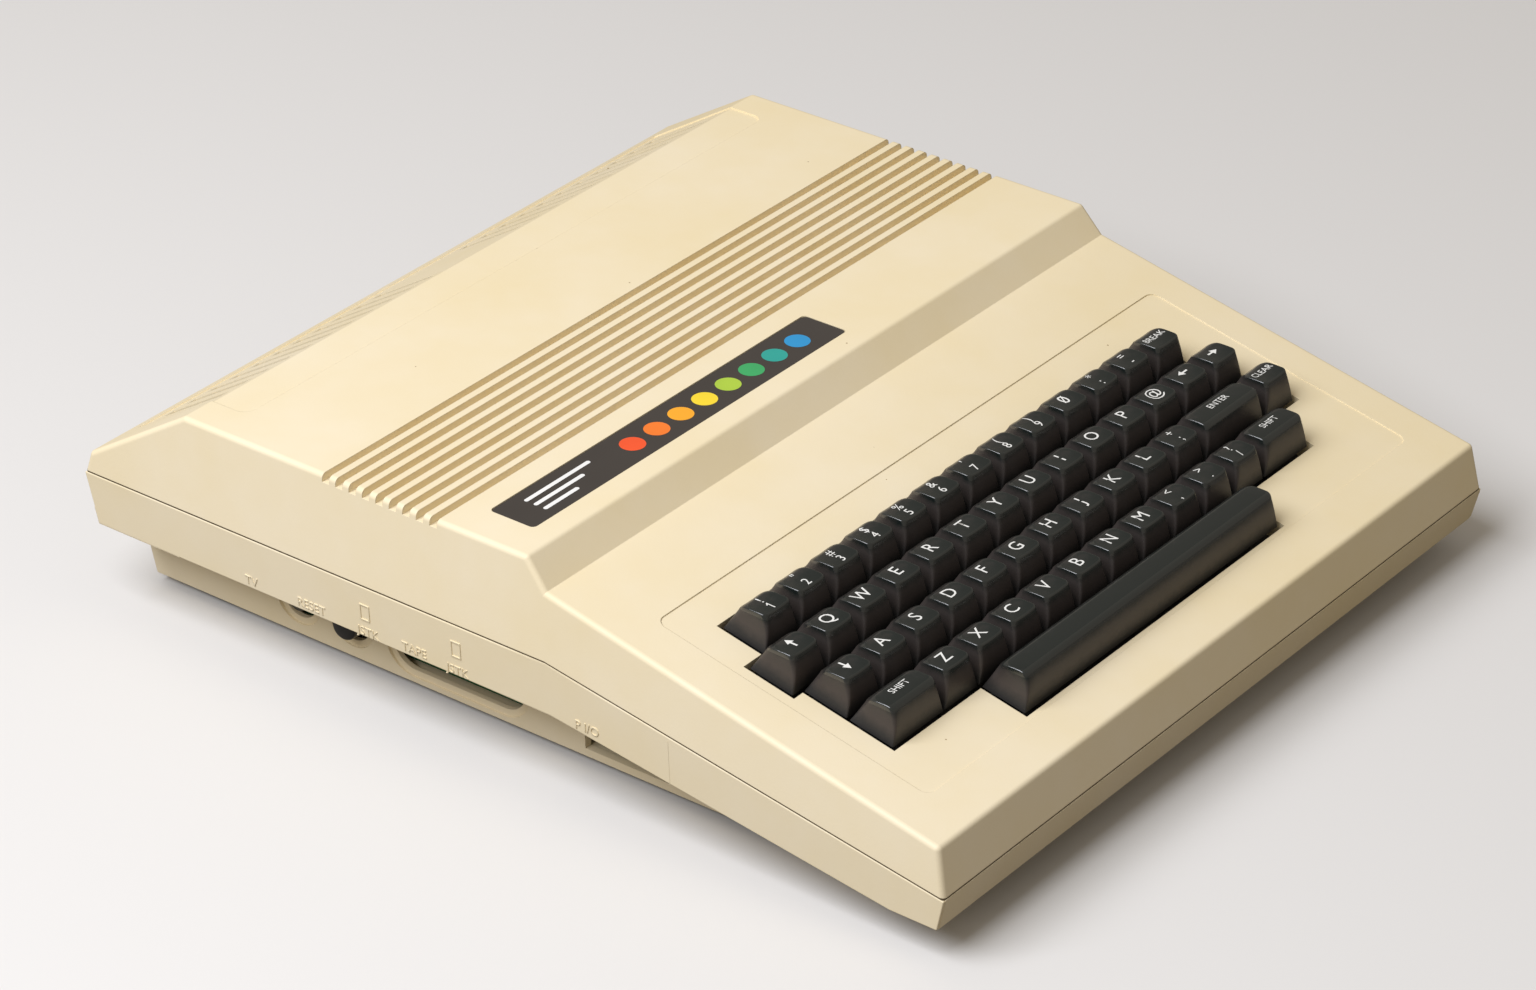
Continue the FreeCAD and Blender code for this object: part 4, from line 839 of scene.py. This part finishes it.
def round_sockets():
    """Dark olive shells of the three round sockets, and flat discs of painted shade for their pins'
    holes.
    """
    metal = plain("dark olive shell", (0.10, 0.098, 0.08), 0.45, 0.6)
    dark = plain("pin hole shade", (0.004, 0.004, 0.004), 0.8)
    for n, y in enumerate(DIN_PLACES):
        shell = [(6.75, -6.8), (6.75, -0.6), (6.85, -0.35), (7.05, -0.3), (7.2, -0.5), (7.2, -6.8)]
        turned(f"round_shell_{n}", shell, [metal], "case",
               spot(DIN_FACE, y, SOCKET_Z) @ TO_LEFT, 40)
        # Painted shade: flat near-black discs on each socket's face stand for the shade in the
        # pins' holes.
        holes, loops = [], []
        for k in range(5):
            angle = math.radians(180 + 45 * k)
            flat, face = disc(PIN_RING * math.cos(angle), PIN_RING * math.sin(angle), 0.85, 16)
            first = len(holes)
            holes += [(px, py, PRINT_LIFT) for px, py in flat]
            loops += [tuple(first + i for i in face[0])]
        plate = new_piece(f"round_hole_shade_{n}", holes, loops, [dark], smooth=False)
        set_on(plate, "case", spot(DIN_FACE, y, SOCKET_Z) @ TO_LEFT
               @ Matrix.Rotation(math.pi / 2, 4, "Z"))


round_sockets()


def reset_cap():
    """The push button's round head and stem, with a softly domed face."""
    head = [(0.01, 6.0), (1.5, 5.95), (3.2, 5.7), (4.3, 5.3), (4.9, 4.7), (5.2, 3.9),
            (5.2, -3.6), (8.7, -3.6), (8.9, -3.8), (8.9, -4.6), (8.7, -4.8), (2.5, -4.8),
            (2.5, -11.2), (2.3, -11.4), (0.01, -11.4)]
    turned("reset_cap", head, [FINISH["button_black"]], "reset_button",
           spot(-BASE_HALF, RESET_Y, SOCKET_Z) @ TO_LEFT, 40, ["reset_button"])


reset_cap()


SWITCH_FACE = 368.309
REAR_PORT_Z = 19.5
ROCKER_Y = 366.809
ROCKER_REST = math.radians(12)
TO_REAR = Matrix(((-1, 0, 0, 0), (0, 0, 1, 0), (0, 1, 0, 0), (0, 0, 0, 1)))


def many(shape, places):
    """One set of points and faces repeated at several offsets."""
    base, loops = shape
    points, faces = [], []
    for dx, dy, dz in places:
        first = len(points)
        points += [(x + dx, y + dy, z + dz) for x, y, z in base]
        faces += [tuple(first + i for i in loop) for loop in loops]
    return points, faces


def header_pins():
    """Two rows of square gilt pins in the printer header, with tapered tips."""
    gilt = plain("gilt", (0.75, 0.52, 0.16), 0.3, 1.0)
    rings = [(0.32, -0.1), (0.32, 5.4), (0.14, 6.0)]
    points = [(sx * r, sy * r, z) for r, z in rings
              for sx, sy in ((-1, -1), (1, -1), (1, 1), (-1, 1))]
    faces = [(4 * row + i, 4 * row + (i + 1) % 4, 4 * row + 4 + (i + 1) % 4, 4 * row + 4 + i)
             for row in range(2) for i in range(4)] + [(8, 9, 10, 11)]
    places = [(2.54 * (row - 0.5), 2.54 * (column - 4.5), 0)
              for row in range(2) for column in range(10)]
    points, faces = many((points, faces), places)
    pins = new_piece("header_pins", points, faces, [gilt], smooth=False)
    set_on(pins, "case", spot(HEADER_FLOOR_X, PRINTER_Y, HEADER_Z) @ TO_LEFT)


def phono_ring():
    """The sleeve, coloured near black as painted shade of the socket's shadowed inside, and the
    dark insulator round the television socket's bore.
    """
    sleeve = [(2.9, 0.02), (3.0, 0.25), (3.9, 0.3), (4.12, 0.1), (4.12, -7)]
    # Painted shade: the metal sleeve is coloured near black for the shade inside the socket.
    sleeve_shade = plain("sleeve in painted shade", (0.13, 0.125, 0.10), 0.45, 0.6)
    turned("phono_sleeve", sleeve, [sleeve_shade], "case",
           spot(TV_FACE_X, TV_Y, SOCKET_Z) @ TO_LEFT, 40)
    turned("phono_insulator", [(1.72, 0.0), (1.8, 0.12), (2.8, 0.12), (2.92, 0.0)],
           [FINISH["socket_black"]], "case",
           spot(TV_FACE_X, TV_Y, SOCKET_Z) @ TO_LEFT, 40)


def inlet_pins():
    """Three round pins in the power inlet."""
    pin = lathe([(0.01, 5.0), (0.7, 4.8), (1.05, 4.3), (1.15, 3.8), (1.15, -0.1)], 20)
    points, faces = many(pin, [(7, 0, 0), (0, 0, 0), (-7, 0, 0)])
    pins = new_piece("inlet_pins", points, faces, [FINISH["screw_steel"]])
    place = spot(INLET_X, SWITCH_FACE - INLET_DEEP, REAR_PORT_Z) @ TO_REAR
    set_on(pins, "case", place)


def rocker_marks():
    """The usual stroke and ring, for on and off, printed on the power rocker."""
    points, faces = bar(0, 2.4, 2.2, 0.5)
    points = [(y - 2.4, x + 2.4) for x, y in points]
    faces = [tuple(reversed(face)) for face in faces]
    sides = 28
    first = len(points)
    for radius in (1.15, 0.7):
        points += [(radius * math.cos(2 * math.pi * i / sides),
                    -2.4 + radius * math.sin(2 * math.pi * i / sides)) for i in range(sides)]
    faces += [(first + i, first + (i + 1) % sides, first + sides + (i + 1) % sides,
               first + sides + i) for i in range(sides)]
    marks = new_piece("rocker_marks", [(x, y, 3.03) for x, y in points], faces, [LEGEND_WHITE],
                      smooth=False)
    turn = Matrix.Rotation(ROCKER_REST, 4, "X")
    place = spot(SWITCH_X, ROCKER_Y, REAR_PORT_Z) @ turn @ TO_REAR
    set_on(marks, "power_rocker", place)


def screws():
    """Pan-head screws with crossed slots drawn as flat crosses of painted shade, looking down from
    the base.
    """
    places = [(side * x, y, z) for side in (-1, 1) for x, y, z in SCREW_PLACES]
    head = lathe([(0.01, 2.4), (1.6, 2.36), (2.5, 2.1), (2.95, 1.5), (3.05, 0.8), (3.05, 0.0),
                  (1.45, 0.0), (1.45, -20), (0.01, -20)], 28)
    head = [(x, -y, -z) for x, y, z in head[0]], head[1]
    slot = [(-1.9, -0.28), (-0.28, -0.28), (-0.28, -1.9), (0.28, -1.9), (0.28, -0.28),
            (1.9, -0.28), (1.9, 0.28), (0.28, 0.28), (0.28, 1.9), (-0.28, 1.9), (-0.28, 0.28),
            (-1.9, 0.28)]
    offsets = [(x, y - CASE_DEPTH / 2, z) for x, y, z in places]
    points, faces = many(head, offsets)
    marks = [0] * len(faces)
    # Painted shade: each slot is a flat dark cross just off the head.
    cross, loops = many(([(x, y, -2.42) for x, y in slot], [tuple(range(11, -1, -1))]), offsets)
    first = len(points)
    faces += [tuple(first + i for i in loop) for loop in loops]
    marks += [1] * len(loops)
    looks = [FINISH["screw_steel"], plain("slot shade", (0.02, 0.02, 0.02), 0.8)]
    made = new_piece("screws", points + cross, faces, looks, marks)
    set_on(made, "case", None, ["case_screws"])


def feet():
    """Moulded rubber feet: rounded pads with a raised rim and cross ribs underneath."""
    rings = [(0.0, 3.5), (0.0, 1.2), (0.25, 0.5), (0.8, 0.05), (1.3, 0.0), (1.7, 0.05), (1.9, 0.5)]
    steps = 6
    points = []
    for inset, z in rings:
        radius = 2.5 - inset * 0.8
        for k, (cx, cy) in enumerate(((1, 1), (-1, 1), (-1, -1), (1, -1))):
            for i in range(steps + 1):
                angle = math.pi / 2 * (k + i / steps)
                points.append((cx * (6 - inset - radius) + radius * math.cos(angle),
                               cy * (11.5 - inset - radius) + radius * math.sin(angle), z))
    count = 4 * (steps + 1)
    faces = [(row * count + i, (row + 1) * count + i, (row + 1) * count + (i + 1) % count,
              row * count + (i + 1) % count) for row in range(len(rings) - 1)
             for i in range(count)]
    faces.append(tuple(range(len(points) - 1, len(points) - count - 1, -1)))
    for k in range(5):
        y = 3.6 * (k - 2)
        first = len(points)
        points += [(x, y + dy, z) for x in (-4.2, 4.2)
                   for dy, z in ((-0.7, 0.6), (-0.35, 0.1), (0.35, 0.1), (0.7, 0.6))]
        faces += [(first + i, first + i + 1, first + i + 5, first + i + 4) for i in range(3)]
    places = [(side * FOOT_X, y - CASE_DEPTH / 2, 0) for side in (-1, 1) for y in FOOT_PLACES]
    points, faces = many((points, faces), places)
    set_on(new_piece("feet", points, faces, [FINISH["foot_rubber"]]), "case",
           None, ["rubber_feet"])


header_pins()
phono_ring()
inlet_pins()
rocker_marks()
screws()
feet()


def soften(node, width, steps=2):
    """Round the hard edges of a node as moulding does."""
    made = frame["nodes"][node].modifiers.new("soft edges", "BEVEL")
    made.width = width * MM
    made.segments = steps
    made.limit_method = "ANGLE"
    made.harden_normals = True


for node, width in (("power_rocker", 0.4), ("power_switch_body", 0.3), ("power_inlet", 0.3),
                    ("din_sockets", 0.25), ("cartridge_flap", 0.25)):
    soften(node, width)


FLOOR_REACH = 12
FLOOR_LIT = (0.225, 0.205, 0.18, 1)
FLOOR_SEEN = (0.72, 0.71, 0.69, 1)
SKY_TINT = (1, 0.90, 0.77, 1)
SKY_LIT = 0.34
SKY_SEEN = 0.85
KEY_LAMP_PLACE = (-1.25, 0.30, 1.75)
KEY_LAMP_TARGET = (0, 0, 0.05)
KEY_LAMP_SIZE = 1.5
KEY_LAMP_POWER = 52
KEY_LAMP_COLOUR = (0.98, 1.0, 1.07)


def floor():
    """A pale floor that keeps the shadow and throws little light back."""
    mesh = bpy.data.meshes.new("floor")
    reach = FLOOR_REACH
    mesh.from_pydata([(-reach, -reach, 0), (reach, -reach, 0), (reach, reach, 0),
                      (-reach, reach, 0)], [], [(0, 1, 2, 3)])
    made = bpy.data.objects.new("floor", mesh)
    bpy.context.scene.collection.objects.link(made)
    look = bpy.data.materials.new("floor")
    look.use_nodes = True
    nodes = look.node_tree.nodes
    shader = nodes["Principled BSDF"]
    seen = nodes.new("ShaderNodeLightPath").outputs["Is Camera Ray"]
    mix = nodes.new("ShaderNodeMix")
    mix.data_type = "RGBA"
    mix.inputs["A"].default_value = FLOOR_LIT
    mix.inputs["B"].default_value = FLOOR_SEEN
    look.node_tree.links.new(seen, mix.inputs["Factor"])
    look.node_tree.links.new(mix.outputs["Result"], shader.inputs["Base Color"])
    shader.inputs["Roughness"].default_value = 0.9
    made.data.materials.append(look)


def world():
    """Dim even warm light from all round, white and pale where the camera sees it."""
    made = bpy.data.worlds.new("world")
    made.use_nodes = True
    nodes = made.node_tree.nodes
    shade = nodes["Background"]
    seen = nodes.new("ShaderNodeLightPath").outputs["Is Camera Ray"]
    strength = nodes.new("ShaderNodeMapRange")
    strength.inputs["To Min"].default_value = SKY_LIT
    strength.inputs["To Max"].default_value = SKY_SEEN
    made.node_tree.links.new(seen, strength.inputs["Value"])
    made.node_tree.links.new(strength.outputs["Result"], shade.inputs["Strength"])
    tint = nodes.new("ShaderNodeMix")
    tint.data_type = "RGBA"
    tint.inputs["A"].default_value = SKY_TINT
    tint.inputs["B"].default_value = (1, 1, 1, 1)
    made.node_tree.links.new(seen, tint.inputs["Factor"])
    made.node_tree.links.new(tint.outputs["Result"], shade.inputs["Color"])
    bpy.context.scene.world = made


floor()
world()
bpy.context.scene.view_settings.view_transform = "Standard"
lamp("key", KEY_LAMP_PLACE, KEY_LAMP_TARGET, KEY_LAMP_SIZE, KEY_LAMP_POWER, KEY_LAMP_COLOUR)
